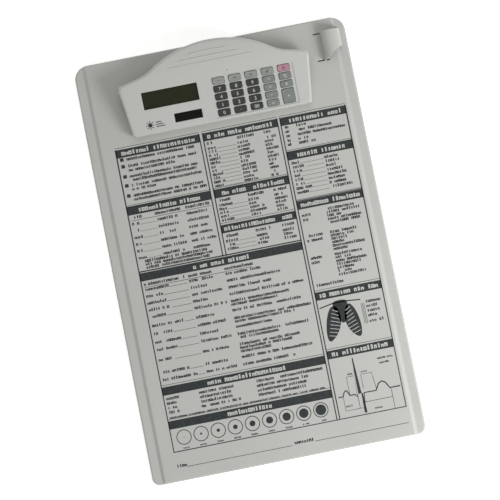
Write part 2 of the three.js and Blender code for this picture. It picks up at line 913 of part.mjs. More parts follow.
// The pad lies level with the board, so it is placed beside the tilted group.
const padBottom = noseZ - noseClearance + gap;
const pad = addPiece(
  clipboard,
  'jaw_pad',
  block(-padHalfLength, padHalfLength, 0, padWidth, padBottom, noseZ + padInset),
  rubber
);
pad.position.y = pivotY + padFront;

// ---------------------------------------------------------------- display and solar cell

function plate(name, x0, x1, y0, y1, top, thickness, material) {
  return addPiece(clip, name, block(x0, x1, y0, y1, top - thickness, top), material);
}

const lcdRear = lcdFront + lcdHeight;
const solarLeft = lcdRight - solarWidth;
const solarRear = solarFront + solarHeight;
const lensTop = faceTop - lensSink;
const underFace = faceInside - gap;

plate(
  'lcd_lens',
  lcdLeft + gap,
  lcdRight - gap,
  lcdFront + gap,
  lcdRear - gap,
  lensTop,
  lensThickness,
  clearPlastic
);
plate(
  'lcd_panel',
  lcdLeft - panelOverhang,
  lcdRight + panelOverhang,
  lcdFront - panelOverhang,
  lcdRear + panelOverhang,
  underFace,
  lcdThickness,
  darkGlass
);
plate(
  'zebra_strip',
  lcdLeft,
  lcdRight,
  lcdFront - panelOverhang,
  lcdFront - panelOverhang + zebraWidth,
  underFace - lcdThickness - gap,
  underFace - lcdThickness - 2 * gap - circuitTop,
  rubber
);
plate(
  'solar_window',
  solarLeft + gap,
  lcdRight - gap,
  solarFront + gap,
  solarRear - gap,
  lensTop,
  lensThickness,
  clearPlastic
);
plate(
  'solar_cell',
  solarLeft - panelOverhang,
  lcdRight + panelOverhang,
  solarFront - panelOverhang / 2,
  solarRear + panelOverhang / 2,
  underFace,
  solarThickness,
  solarGlass
);

// ---------------------------------------------------------------- key mat and circuit

plate(
  'key_mat',
  keypadLeft - matMarginX,
  circuitRight,
  keypadFront - matMarginY,
  keypadRear + matMarginY,
  matTop,
  matThickness,
  rubber
);

// The nose floor rises towards the front, so the circuit board stops where it would meet it.
const floorRoom = (circuitBottom - gap) * Math.cos(faceTilt) + pivotZ - noseZ - floorSkin;
const circuitFront = Math.max(keypadFront - matMarginY, -floorRoom / Math.sin(faceTilt));
plate(
  'circuit_board',
  lcdLeft - panelOverhang,
  circuitRight,
  circuitFront,
  shoulderY - sideWall - circuitMargin,
  circuitTop,
  circuitThickness,
  fibreglass
);

// ---------------------------------------------------------------- button cell

const cellBottom = floorTop + gap;
const cellTop = cellBottom + cellHeight;
addPiece(clip, 'button_cell', disc(cellX, cellY, cellRadius, cellBottom, cellTop, 24), platedSteel);

plate(
  'battery_contact',
  circuitRight + gap,
  cellX + cellRadius / 2,
  cellY - contactWidth / 2,
  cellY + contactWidth / 2,
  cellTop + gap + contactThickness,
  contactThickness,
  springSteel
);

const coverScrewY = coverFront + coverTab / 2;

function makeBatteryCover() {
  const lid = block(
    cellX - cellRadius,
    cellX + cellRadius,
    coverFront + gap,
    coverRear - gap,
    floorBottom,
    floorTop
  );
  return cut(
    lid,
    disc(cellX, coverScrewY, coverScrewRadius + gap, floorBottom - 1, floorTop + 1, 10),
    disc(cellX, coverScrewY, coverScrewHeadRadius + gap, floorBottom - 1, floorBottom + coverScrewHeadHeight + gap, 14)
  );
}

addPiece(clip, 'battery_cover', makeBatteryCover(), shellPlastic);

function makeCoverScrew() {
  const seat = floorBottom + coverScrewHeadHeight;
  const tip = floorTop + coverScrewLength - gap;
  return join(
    disc(cellX, coverScrewY, coverScrewRadius, floorBottom, tip, 10),
    disc(cellX, coverScrewY, coverScrewHeadRadius, floorBottom, seat, 14)
  );
}

addPiece(clip, 'battery_cover_screw', makeCoverScrew(), platedSteel);

export default clipboard;
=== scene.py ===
import json
import math
import random

import bmesh
import bpy
from mathutils import Matrix, Vector


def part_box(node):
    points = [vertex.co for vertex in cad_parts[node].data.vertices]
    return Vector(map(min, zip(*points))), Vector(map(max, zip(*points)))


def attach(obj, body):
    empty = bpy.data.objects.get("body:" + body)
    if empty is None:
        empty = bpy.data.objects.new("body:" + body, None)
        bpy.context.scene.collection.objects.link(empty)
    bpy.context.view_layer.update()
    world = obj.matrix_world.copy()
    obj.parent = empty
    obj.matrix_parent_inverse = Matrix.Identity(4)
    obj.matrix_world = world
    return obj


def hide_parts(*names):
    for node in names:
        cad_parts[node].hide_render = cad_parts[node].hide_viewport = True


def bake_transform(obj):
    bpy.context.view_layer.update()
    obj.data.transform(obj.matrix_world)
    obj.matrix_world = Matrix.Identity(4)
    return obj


# A clipboard with a solar calculator for a clip. Builders work in millimetres and
# every mesh is written in metres, in the frame's own axes.

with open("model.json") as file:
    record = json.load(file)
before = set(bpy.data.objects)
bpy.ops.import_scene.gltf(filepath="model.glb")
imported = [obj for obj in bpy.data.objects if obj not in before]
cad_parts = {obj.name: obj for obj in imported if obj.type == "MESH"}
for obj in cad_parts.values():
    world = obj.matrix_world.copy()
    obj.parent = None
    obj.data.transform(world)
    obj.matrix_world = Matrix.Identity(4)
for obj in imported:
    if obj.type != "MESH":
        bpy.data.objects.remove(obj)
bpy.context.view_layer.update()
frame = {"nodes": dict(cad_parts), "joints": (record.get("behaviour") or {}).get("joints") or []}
mm = 0.001
joints = {joint["name"]: joint for joint in frame["joints"]}


# Places taken from the frame

def inMm(corners):
    return corners[0] / mm, corners[1] / mm


pivot = Vector(joints["clip_hinge"]["pos_m"]) / mm
pressAxis = Vector(joints["key_0_press"]["axis"])
faceTilt = math.atan2(pressAxis.y, -pressAxis.z)
clipPlace = Matrix.Translation(pivot) @ Matrix.Rotation(faceTilt, 4, "X")
levelPlace = Matrix.Identity(4)


def clipBox(node):
    # lowest and highest corner of a CAD node in the clip's own axes, which lie along its face
    back = clipPlace.inverted()
    points = [back @ (vertex.co / mm) for vertex in frame["nodes"][node].data.vertices]
    low = Vector(min(point[axis] for point in points) for axis in range(3))
    high = Vector(max(point[axis] for point in points) for axis in range(3))
    return low, high


# Mesh helpers

def newObject(name, mesh):
    piece = bpy.data.objects.new(name, mesh)
    bpy.context.scene.collection.objects.link(piece)
    return piece


def plainMesh(points, edges=()):
    mesh = bpy.data.meshes.new("points")
    mesh.from_pydata(points, edges, [])
    return mesh


def evaluated(piece):
    graph = bpy.context.evaluated_depsgraph_get()
    return bpy.data.meshes.new_from_object(piece.evaluated_get(graph))


def applied(piece):
    # bakes the modifiers into the mesh
    made = evaluated(piece)
    piece.modifiers.clear()
    piece.data = made
    return piece


def dropObject(piece):
    mesh = piece.data
    bpy.data.objects.remove(piece)
    if isinstance(mesh, bpy.types.Mesh) and mesh.users == 0:
        bpy.data.meshes.remove(mesh)


def toObject(name, shape, place=levelPlace):
    # a bmesh in millimetres becomes an object at the origin, in metres
    shape.transform(Matrix.Scale(mm, 4) @ place)
    mesh = bpy.data.meshes.new(name)
    shape.to_mesh(mesh)
    shape.free()
    return newObject(name, mesh)


def loft(rings, shape=None):
    # a closed skin through rings of equal length, with both ends filled
    shape = shape or bmesh.new()
    rows = [[shape.verts.new(point) for point in ring] for ring in rings]
    count = len(rows[0])
    made = [shape.faces.new(rows[0]), shape.faces.new(rows[-1])]
    for lower, upper in zip(rows, rows[1:]):
        for i in range(count):
            j = (i + 1) % count
            made.append(shape.faces.new((lower[i], lower[j], upper[j], upper[i])))
    bmesh.ops.recalc_face_normals(shape, faces=made)
    return shape


def flatRing(outline, z):
    return [Vector((x, y, z)) for x, y in outline]


def prism(outline, low, high, shape=None):
    return loft([flatRing(outline, low), flatRing(outline, high)], shape)


def arc(x, y, radius, start, end, steps):
    turns = [start + (end - start) * step / steps for step in range(steps + 1)]
    return [(x + radius * math.cos(turn), y + radius * math.sin(turn)) for turn in turns]


def disc(x, y, radius, turn=1.94, steps=31):
    return arc(x, y, radius, 0, turn * math.pi, steps)


def curveTo(start, control, end, steps):
    points = []
    for step in range(steps + 1):
        t = step / steps
        points.append(tuple(
            (1 - t) ** 2 * a + 2 * t * (1 - t) * b + t * t * c
            for a, b, c in zip(start, control, end)
        ))
    return points


def roundedRect(x0, x1, y0, y1, radius, steps=5):
    quarter = math.pi / 2
    return (
        arc(x1 - radius, y0 + radius, radius, -quarter, 0, steps)
        + arc(x1 - radius, y1 - radius, radius, 0, quarter, steps)
        + arc(x0 + radius, y1 - radius, radius, quarter, 2 * quarter, steps)
        + arc(x0 + radius, y0 + radius, radius, 2 * quarter, 3 * quarter, steps)
    )


def roundEdge(radius, steps):
    # inset and drop of each ring over a quarter-round edge
    turns = [math.pi / 2 * step / steps for step in range(steps + 1)]
    return [(radius * (1 - math.cos(t)), radius * (1 - math.sin(t))) for t in turns]


def scoreAcross(shape, axis, places):
    normal = Vector((axis == "x", axis == "y", 0))
    for place in places:
        bmesh.ops.bisect_plane(
            shape,
            geom=shape.verts[:] + shape.edges[:] + shape.faces[:],
            plane_co=normal * place,
            plane_no=normal,
        )


def combine(piece, tool, operation):
    # cuts the tool from the piece or welds it on, and throws the tool away
    step = piece.modifiers.new("combine", "BOOLEAN")
    step.object = tool
    step.operation = operation
    step.solver = "EXACT"
    applied(piece)
    dropObject(tool)


def soften(piece, width, segments=2, angle=35):
    # moulded or worn edges: a small bevel wherever two faces meet sharply
    bevel = piece.modifiers.new("softEdge", "BEVEL")
    bevel.width = width * mm
    bevel.segments = segments
    bevel.limit_method = "ANGLE"
    bevel.angle_limit = math.radians(angle)
    bevel.use_clamp_overlap = True
    bevel.miter_outer = "MITER_ARC"
    applied(piece)


def smooth(piece, angle=40):
    piece.data.shade_smooth()
    piece.data.set_sharp_from_angle(angle=math.radians(angle))
    weighted = piece.modifiers.new("evenNormals", "WEIGHTED_NORMAL")
    weighted.keep_sharp = True


def cadCopy(node):
    # the node's triangles, merged into whole faces, as a new bmesh in millimetres
    source = frame["nodes"][node].data
    shape = bmesh.new()
    corners = [shape.verts.new(vertex.co / mm) for vertex in source.vertices]
    for polygon in source.polygons:
        shape.faces.new([corners[index] for index in polygon.vertices])
    bmesh.ops.remove_doubles(shape, verts=shape.verts, dist=0.002)
    bmesh.ops.dissolve_limit(
        shape, angle_limit=math.radians(1), verts=shape.verts, edges=shape.edges
    )
    return shape


def settle(piece, body, slotName, material, *nodes):
    # material, body, slot and the CAD nodes it stands for; the slot is not used, and a piece with no
    # body is left unattached
    piece.data.materials.clear()
    piece.data.materials.append(material)
    if body is not None:
        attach(piece, body)
    if nodes:
        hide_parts(*nodes)


# Node helpers

def linear(colour):
    channels = [int(colour[i:i + 2], 16) / 255 for i in (0, 2, 4)]
    return tuple(
        c / 12.92 if c <= 0.04045 else ((c + 0.055) / 1.055) ** 2.4 for c in channels
    ) + (1.0,)


def fill(tree, node, inputs):
    # sets or links a node's inputs; a node given as an input stands for its first output
    for key, value in inputs.items():
        for item in value if isinstance(value, list) else [value]:
            if isinstance(item, bpy.types.Node):
                item = item.outputs[0]
            if isinstance(item, bpy.types.NodeSocket):
                tree.links.new(item, node.inputs[key])
            else:
                node.inputs[key].default_value = item


def addNode(tree, kind, inputs=None, **settings):
    node = tree.nodes.new(kind)
    for name, value in settings.items():
        setattr(node, name, value)
    fill(tree, node, inputs or {})
    return node


def newTree(name, inputs):
    # a geometry tree, with the names of its inputs given by kind
    tree = bpy.data.node_groups.new(name, "GeometryNodeTree")
    tree.interface.new_socket("Geometry", in_out="INPUT", socket_type="NodeSocketGeometry")
    tree.interface.new_socket("Geometry", in_out="OUTPUT", socket_type="NodeSocketGeometry")
    for kind, labels in inputs.items():
        for label in labels:
            tree.interface.new_socket(label, in_out="INPUT", socket_type="NodeSocket" + kind)
    return tree, addNode(tree, "NodeGroupInput").outputs


def closeTree(tree, geometry, material):
    whole = addNode(tree, "GeometryNodeRealizeInstances", {"Geometry": geometry})
    painted = addNode(tree, "GeometryNodeSetMaterial", {"Geometry": whole, "Material": material})
    addNode(tree, "NodeGroupOutput", {"Geometry": painted})
    return tree


def grow(name, tree, mesh, values):
    # runs a tree on a mesh and keeps the result as a plain mesh
    piece = newObject(name, mesh)
    modifier = piece.modifiers.new("grow", "NODES")
    modifier.node_group = tree
    for item in tree.interface.items_tree:
        if item.in_out == "INPUT" and item.name in values:
            modifier[item.identifier] = values[item.name]
    return applied(piece)


def metres(lengths):
    # a tree's lengths, from millimetres
    return {label: length * mm for label, length in lengths.items()}


def pathMesh(lines):
    # open lines through points in millimetres, as loose edges in metres
    points = []
    edges = []
    for line in lines:
        first = len(points)
        points.extend(Vector(point) * mm for point in line)
        edges.extend((first + i, first + i + 1) for i in range(len(line) - 1))
    return plainMesh(points, edges)


# Camera, light and floor

shot = {
    "distance": 1800,
    "swing": 0.209,       # degrees round from straight in front
    "rise": 85.889,       # degrees above the board
    "roll": -11.451,
    "spread": 13.758,     # angle of view
    "aim": (0.992, -0.601, 0),
}


def setCamera():
    swing = math.radians(shot["swing"])
    rise = math.radians(shot["rise"])
    roll = math.radians(shot["roll"])
    back = Vector((
        math.sin(swing) * math.cos(rise),
        -math.cos(swing) * math.cos(rise),
        math.sin(rise),
    ))
    level = Vector((-math.sin(swing), math.cos(swing), 0)).cross(back).normalized()
    upright = back.cross(level)
    right = level * math.cos(roll) + upright * math.sin(roll)
    up = upright * math.cos(roll) - level * math.sin(roll)
    data = bpy.data.cameras.new("camera")
    data.sensor_width = 36
    data.lens = data.sensor_width / 2 / math.tan(math.radians(shot["spread"]) / 2)
    data.clip_end = 20
    camera = bpy.data.objects.new("camera", data)
    turn = Matrix((right, up, back)).transposed().to_4x4()
    place = (Vector(shot["aim"]) + back * shot["distance"]) * mm
    camera.matrix_world = Matrix.Translation(place) @ turn
    bpy.context.scene.collection.objects.link(camera)
    bpy.context.scene.camera = camera


studio = {
    "skyStrength": 0.40,
    "floorColour": "f4f4f2",
    "floorGlow": 0.55,
    "shade": (114, 179.5),  # half sizes of the unglowing patch under the board, painted shade that shows dark through its slots
    "lamps": {
        # place in metres, size in metres, watts
        "key": ((0.62, -0.42, 0.55), 0.45, 5.8),
        "fill": ((-0.9, -0.9, 1.1), 1.2, 1.5),
        "top": ((0.1, 0.9, 1.3), 1.0, 2.5),
    },
}


def setStudio():
    scene = bpy.context.scene
    scene.view_settings.view_transform = "Standard"
    world = bpy.data.worlds.new("studio")
    world.use_nodes = True
    sky = world.node_tree.nodes["Background"]
    sky.inputs["Color"].default_value = (1, 1, 1, 1)
    sky.inputs["Strength"].default_value = studio["skyStrength"]
    scene.world = world
    for name, (place, size, power) in studio["lamps"].items():
        data = bpy.data.lights.new(name, "AREA")
        data.shape = "DISK"
        data.size = size
        data.energy = power
        lamp = bpy.data.objects.new(name, data)
        lamp.location = place
        lamp.rotation_euler = (-Vector(place)).to_track_quat("-Z", "Y").to_euler()
        scene.collection.objects.link(lamp)
    shape = bmesh.new()
    bmesh.ops.create_circle(shape, cap_ends=True, segments=64, radius=3000)
    floor = toObject("floor", shape, Matrix.Translation((0, 0, -0.05)))
    floor.data.materials.append(paperSweep())


# Materials

def newMaterial(name):
    material = bpy.data.materials.new(name)
    material.use_nodes = True
    tree = material.node_tree
    tree.nodes.clear()
    return material, tree, addNode(tree, "ShaderNodeTexCoord").outputs["Object"]


def surface(material, values):
    shader = addNode(material.node_tree, "ShaderNodeBsdfPrincipled", values)
    addNode(material.node_tree, "ShaderNodeOutputMaterial", {"Surface": shader})
    return material


def paperSweep():
    # seamless paper roll: matt, nearly white and glowing evenly, except for a patch under the board
    # left unglowing as painted shade, which shows dark through the board's slots
    material, tree, place = newMaterial("paperSweep")
    fibre = addNode(tree, "ShaderNodeTexNoise", {"Vector": place, "Scale": 40.0})
    tint = addNode(tree, "ShaderNodeMix", {
        0: fibre, 6: linear("f1f1ef"), 7: linear(studio["floorColour"]),
    }, data_type="RGBA")
    axes = addNode(tree, "ShaderNodeSeparateXYZ", {0: place})
    shares = []
    for axis, half in (("X", studio["shade"][0]), ("Y", studio["shade"][1])):
        size = addNode(tree, "ShaderNodeMath", {0: axes.outputs[axis]}, operation="ABSOLUTE")
        shares.append(addNode(tree, "ShaderNodeMath", {0: size, 1: half * mm}, operation="DIVIDE"))
    out = addNode(tree, "ShaderNodeMath", {0: shares[0], 1: shares[1]}, operation="MAXIMUM")
    # the glow stops inside the patch under the board: painted shade
    glowMask = addNode(tree, "ShaderNodeMath", {0: out, 1: 1.0}, operation="GREATER_THAN")
    glow = addNode(tree, "ShaderNodeMath", {0: glowMask, 1: studio["floorGlow"]}, operation="MULTIPLY")
    return surface(material, {
        "Base Color": tint.outputs[2], "Roughness": 0.9, "Emission Color": (1, 1, 1, 1),
        "Emission Strength": glow,
    })


def texturedAbs(name, pale, deep, grain=0.7):
    # ABS moulded in a spark-eroded tool: an even matt light grey, faint flow marks
    # across the part and a fine pebble grain that breaks up the highlight
    material, tree, place = newMaterial(name)
    flow = addNode(tree, "ShaderNodeTexNoise", {"Vector": place, "Scale": 11.0, "Detail": 4.0})
    tint = addNode(tree, "ShaderNodeMix", {
        0: flow, 6: linear(deep), 7: linear(pale),
    }, data_type="RGBA")
    pebble = addNode(tree, "ShaderNodeTexNoise", {
        "Vector": place, "Scale": 1 / (grain * mm), "Detail": 3.0, "Roughness": 0.6,
    })
    speck = addNode(tree, "ShaderNodeMapRange", {
        "Value": pebble, "From Min": 0.3, "From Max": 0.7,
        "To Min": 0.965, "To Max": 1.02,
    })
    toned = addNode(tree, "ShaderNodeVectorMath", {
        0: tint.outputs[2], "Scale": speck,
    }, operation="SCALE")
    handled = addNode(tree, "ShaderNodeTexNoise", {
        "Vector": place, "Scale": 28.0, "Detail": 5.0, "Roughness": 0.55,
    })
    rough = addNode(tree, "ShaderNodeMapRange", {
        "Value": handled, "From Min": 0.3, "From Max": 0.7,
        "To Min": 0.40, "To Max": 0.54,
    })
    bump = addNode(tree, "ShaderNodeBump", {"Height": pebble, "Strength": 0.22, "Distance": 0.06 * mm})
    return surface(material, {
        "Base Color": toned, "Roughness": rough, "Normal": bump,
        "IOR": 1.53,
    })


def satinKeyPlastic(name, pale, deep):
    # ABS key caps from a polished tool, worn satin by fingers: smoother in soft patches
    material, tree, place = newMaterial(name)
    cloud = addNode(tree, "ShaderNodeTexNoise", {"Vector": place, "Scale": 160.0, "Detail": 3.0})
    tint = addNode(tree, "ShaderNodeMix", {
        0: cloud, 6: linear(deep), 7: linear(pale),
    }, data_type="RGBA")
    rough = addNode(tree, "ShaderNodeMapRange", {
        "Value": cloud, "From Min": 0.35, "From Max": 0.65,
        "To Min": 0.30, "To Max": 0.44,
    })
    grain = addNode(tree, "ShaderNodeTexNoise", {"Vector": place, "Scale": 2600.0, "Detail": 2.0})
    bump = addNode(tree, "ShaderNodeBump", {"Height": grain, "Strength": 0.12, "Distance": 0.03 * mm})
    return surface(material, {
        "Base Color": tint.outputs[2], "Roughness": rough, "Normal": bump, "IOR": 1.53,
    })


def screenInk():
    # solvent screen ink on plastic: near-black with a slight green cast, a soft sheen,
    # and thinner patches where the squeegee left less of it
    material, tree, place = newMaterial("screenInk")
    patch = addNode(tree, "ShaderNodeTexNoise", {
        "Vector": place, "Scale": 420.0, "Detail": 4.0, "Roughness": 0.6,
    })
    cover = addNode(tree, "ShaderNodeMapRange", {"Value": patch, "From Min": 0.32, "From Max": 0.72})
    tint = addNode(tree, "ShaderNodeMix", {
        0: cover, 6: linear("1f2325"), 7: linear("33393a"),
    }, data_type="RGBA")
    rough = addNode(tree, "ShaderNodeMapRange", {"Value": patch, "To Min": 0.38, "To Max": 0.6})
    return surface(material, {"Base Color": tint.outputs[2], "Roughness": rough, "IOR": 1.5})


def legendInk():
    # pad-printed pale legend ink on the dark keys: chalky, slightly worn
    material, tree, place = newMaterial("legendInk")
    wear = addNode(tree, "ShaderNodeTexNoise", {"Vector": place, "Scale": 900.0, "Detail": 3.0})
    tint = addNode(tree, "ShaderNodeMix", {
        0: wear, 6: linear("b9beba"), 7: linear("e2e5e1"),
    }, data_type="RGBA")
    return surface(material, {"Base Color": tint.outputs[2], "Roughness": 0.55})


def windowAcrylic():
    # smoke-tinted cast acrylic window, polished: it only darkens what lies under it, and
    # shows as gloss with fine hairlines
    material, tree, place = newMaterial("windowAcrylic")
    stretch = addNode(tree, "ShaderNodeMapping", {"Vector": place, "Scale": (1.0, 14.0, 1.0)})
    hair = addNode(tree, "ShaderNodeTexNoise", {"Vector": stretch, "Scale": 300.0, "Detail": 5.0})
    rough = addNode(tree, "ShaderNodeMapRange", {
        "Value": hair, "From Min": 0.4, "From Max": 0.75,
        "To Min": 0.05, "To Max": 0.16,
    })
    return surface(material, {
        "Roughness": rough, "Base Color": linear("15170f"), "IOR": 1.49, "Alpha": 0.2,
    })


def displayGlass():
    # reflective liquid-crystal cell: olive rear reflector under glass, mottled in soft clouds,
    # with faint rows of unlit segments
    material, tree, place = newMaterial("displayGlass")
    cloud = addNode(tree, "ShaderNodeTexNoise", {"Vector": place, "Scale": 60.0, "Detail": 2.0})
    tint = addNode(tree, "ShaderNodeMix", {
        0: cloud, 6: linear("31361a"), 7: linear("3c4222"),
    }, data_type="RGBA")
    rows = addNode(tree, "ShaderNodeTexWave", {
        "Vector": place, "Scale": 1 / (0.9 * mm) / 6.28, "Distortion": 0.0,
    }, bands_direction="Y")
    line = addNode(tree, "ShaderNodeMapRange", {
        "Value": rows.outputs["Fac"], "To Min": 0.94, "To Max": 1.0,
    })
    toned = addNode(tree, "ShaderNodeVectorMath", {
        0: tint.outputs[2], "Scale": line,
    }, operation="SCALE")
    return surface(material, {"Base Color": toned, "Roughness": 0.28, "IOR": 1.4})


def solarSilicon():
    # amorphous silicon on glass: blue-black, cut by thin pale laser lines into cells
    material, tree, place = newMaterial("solarSilicon")
    axes = addNode(tree, "ShaderNodeSeparateXYZ", {0: place})
    along = addNode(tree, "ShaderNodeMath", {
        0: axes.outputs["X"], 1: 1 / (6.1 * mm),
    }, operation="MULTIPLY")
    cell = addNode(tree, "ShaderNodeMath", {0: along}, operation="FRACT")
    edge = addNode(tree, "ShaderNodeMath", {0: cell, 1: 0.05}, operation="LESS_THAN")
    tint = addNode(tree, "ShaderNodeMix", {
        0: edge, 6: linear("050608"), 7: linear("1c1a17"),
    }, data_type="RGBA")
    cloud = addNode(tree, "ShaderNodeTexNoise", {"Vector": place, "Scale": 240.0, "Detail": 2.0})
    rough = addNode(tree, "ShaderNodeMapRange", {"Value": cloud, "To Min": 0.16, "To Max": 0.30})
    return surface(material, {"Base Color": tint.outputs[2], "Roughness": rough, "IOR": 1.3})


def zincPlate():
    # bright zinc-plated pressed steel: fine rolling lines along x and cloudy blue-white bloom
    material, tree, place = newMaterial("zincPlate")
    stretch = addNode(tree, "ShaderNodeMapping", {"Vector": place, "Scale": (1.0, 30.0, 30.0)})
    lines = addNode(tree, "ShaderNodeTexNoise", {"Vector": stretch, "Scale": 90.0, "Detail": 4.0})
    bloom = addNode(tree, "ShaderNodeTexNoise", {"Vector": place, "Scale": 130.0, "Detail": 4.0})
    tint = addNode(tree, "ShaderNodeMix", {
        0: bloom, 6: linear("9fa3a8"), 7: linear("c9cbcc"),
    }, data_type="RGBA")
    rough = addNode(tree, "ShaderNodeMapRange", {
        "Value": lines, "From Min": 0.3, "From Max": 0.7,
        "To Min": 0.24, "To Max": 0.42,
    })
    bump = addNode(tree, "ShaderNodeBump", {"Height": lines, "Strength": 0.15, "Distance": 0.02 * mm})
    return surface(material, {
        "Base Color": tint.outputs[2], "Roughness": rough, "Normal": bump,
        "Metallic": 1.0,
    })


def musicWire():
    # drawn spring steel wire: dark straw-grey with lengthwise draw marks and an oily sheen
    material, tree, place = newMaterial("musicWire")
    marks = addNode(tree, "ShaderNodeTexNoise", {"Vector": place, "Scale": 1500.0, "Detail": 3.0})
    tint = addNode(tree, "ShaderNodeMix", {
        0: marks, 6: linear("6d6c69"), 7: linear("9b9892"),
    }, data_type="RGBA")
    rough = addNode(tree, "ShaderNodeMapRange", {"Value": marks, "To Min": 0.22, "To Max": 0.42})
    return surface(material, {"Base Color": tint.outputs[2], "Roughness": rough, "Metallic": 1.0})


def mouldedRubber():
    # compression-moulded black rubber: dull, dusty in its pores
    material, tree, place = newMaterial("mouldedRubber")
    dust = addNode(tree, "ShaderNodeTexNoise", {"Vector": place, "Scale": 500.0, "Detail": 5.0})
    tint = addNode(tree, "ShaderNodeMix", {
        0: dust, 6: linear("2a2b2b"), 7: linear("4b4c4c"),
    }, data_type="RGBA")
    bump = addNode(tree, "ShaderNodeBump", {"Height": dust, "Strength": 0.3, "Distance": 0.05 * mm})
    return surface(material, {"Base Color": tint.outputs[2], "Normal": bump, "Roughness": 0.82})


def glassEpoxy():
    # glass-epoxy laminate under green solder mask: woven cloth shows through as a fine check
    material, tree, place = newMaterial("glassEpoxy")
    weave = addNode(tree, "ShaderNodeTexChecker", {"Vector": place, "Scale": 1 / (0.5 * mm)})
    cloud = addNode(tree, "ShaderNodeTexNoise", {"Vector": place, "Scale": 80.0, "Detail": 3.0})
    tint = addNode(tree, "ShaderNodeMix", {
        0: cloud, 6: linear("23502f"), 7: linear("3a7448"),
    }, data_type="RGBA")
    bump = addNode(tree, "ShaderNodeBump", {
        "Height": weave.outputs["Fac"], "Strength": 0.08, "Distance": 0.02 * mm,
    })
    return surface(material, {"Base Color": tint.outputs[2], "Normal": bump, "Roughness": 0.34})


setCamera()
setStudio()
shell = texturedAbs("texturedAbs", "c6c7c2", "bbbcb7")
charcoalKey = satinKeyPlastic("charcoalKeyPlastic", "383b39", "2c2f2d")
greyKey = satinKeyPlastic("greyKeyPlastic", "868c87", "747a75")
lightKey = satinKeyPlastic("lightKeyPlastic", "999c96", "8b8f88")
pinkKey = satinKeyPlastic("pinkKeyPlastic", "bb8c9b", "ad7f8f")
ink = screenInk()
paleInk = legendInk()
acrylic = windowAcrylic()
display = displayGlass()
silicon = solarSilicon()
zinc = zincPlate()
wire = musicWire()
rubber = mouldedRubber()
laminate = glassEpoxy()
print("camera, studio and materials ready")


# Board

boardLow, boardHigh = inMm(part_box("board"))
board = {
    "halfWidth": boardHigh.x,
    "halfLength": boardHigh.y,
    "top": boardHigh.z,
    "bandTop": 5,
    "stepFoot": 112.3,
    "stepHead": 108.5,
    "topCorner": 12,
    "bottomCorner": 7,
    "edgeRound": 1.9,
    "skin": 3,
    "pocketHalfWidth": 106.5,
    "pocketHalfLength": 181,
    "pocketColumns": 3,
    "pocketRows": 5,
    "rib": 1.6,
    "pocketCorner": 2.5,
    "footRound": 0.5,
    "rivetHole": 1.8,
    "rivetRecess": 2.7,
    "cutFrom": -1,
    "cutTo": 20,
}


def boardOutline(inset):
    x = board["halfWidth"]
    y = board["halfLength"]
    top = board["topCorner"]
    bottom = board["bottomCorner"]
    quarter = math.pi / 2
    return (
        arc(x - bottom, bottom - y, bottom - inset, -quarter, 0, 10)
        + arc(x - top, y - top, top - inset, 0, quarter, 14)
        + arc(top - x, y - top, top - inset, quarter, 2 * quarter, 14)
        + arc(bottom - x, bottom - y, bottom - inset, 2 * quarter, 3 * quarter, 10)
    )


def stepHeight(x):
    # rise of the writing surface over the side bands, eased at the head and the foot
    foot, head = board["stepFoot"], board["stepHead"]
    t = min(1, max(0, (foot - abs(x)) / (foot - head)))
    return (board["top"] - board["bandTop"]) * t * t * (3 - 2 * t)


def makeBoard():
    bandTop = board["bandTop"]
    radius = board["edgeRound"]
    footRound = board["footRound"]
    rings = [flatRing(boardOutline(footRound), 0), flatRing(boardOutline(0), footRound)]
    for inset, drop in roundEdge(radius, 7):
        rings.append(flatRing(boardOutline(inset), bandTop - drop))
    shape = loft(rings)
    foot, head = board["stepFoot"], board["stepHead"]
    steps = [head + (foot - head) * i / 8 for i in range(9)]
    scoreAcross(shape, "x", steps + [-x for x in steps])
    for vertex in shape.verts:
        if vertex.co.z > bandTop - radius - 0.01:
            vertex.co.z += stepHeight(vertex.co.x)
    piece = toObject("clip_board", shape)

    underside = board["top"] - board["skin"]
    halfWidth = board["pocketHalfWidth"]
    halfLength = board["pocketHalfLength"]
    rib = board["rib"]
    width = (2 * halfWidth - (board["pocketColumns"] - 1) * rib) / board["pocketColumns"]
    length = (2 * halfLength - (board["pocketRows"] - 1) * rib) / board["pocketRows"]
    pockets = bmesh.new()
    for column in range(board["pocketColumns"]):
        for row in range(board["pocketRows"]):
            x = -halfWidth + column * (width + rib)
            y = -halfLength + row * (length + rib)
            outline = roundedRect(x, x + width, y, y + length, board["pocketCorner"])
            prism(outline, board["cutFrom"], underside, pockets)
    combine(piece, toObject("pockets", pockets), "DIFFERENCE")

    through = bmesh.new()
    recesses = bmesh.new()
    cutFrom, cutTo = board["cutFrom"], board["cutTo"]
    for x0, x1, y in penLoop["slots"]:
        half = penLoop["slotWidth"] / 2
        prism(roundedRect(x0, x1, y - half, y + half, half * 0.9), cutFrom, cutTo, through)
    for index in range(1, 5):
        low, high = inMm(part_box(f"base_rivet_{index}"))
        middle = (low + high) / 2
        prism(disc(middle.x, middle.y, board["rivetHole"]), cutFrom, cutTo, through)
        prism(disc(middle.x, middle.y, board["rivetRecess"]), cutFrom, underside, recesses)
    combine(piece, toObject("recesses", recesses), "DIFFERENCE")
    combine(piece, toObject("through", through), "DIFFERENCE")
    soften(piece, 0.22, 2, 50)
    smooth(piece)
    settle(piece, "board", "shell_plastic", shell, "board")


# Pen loop: a moulded tunnel that stands on the writing surface and on the side band

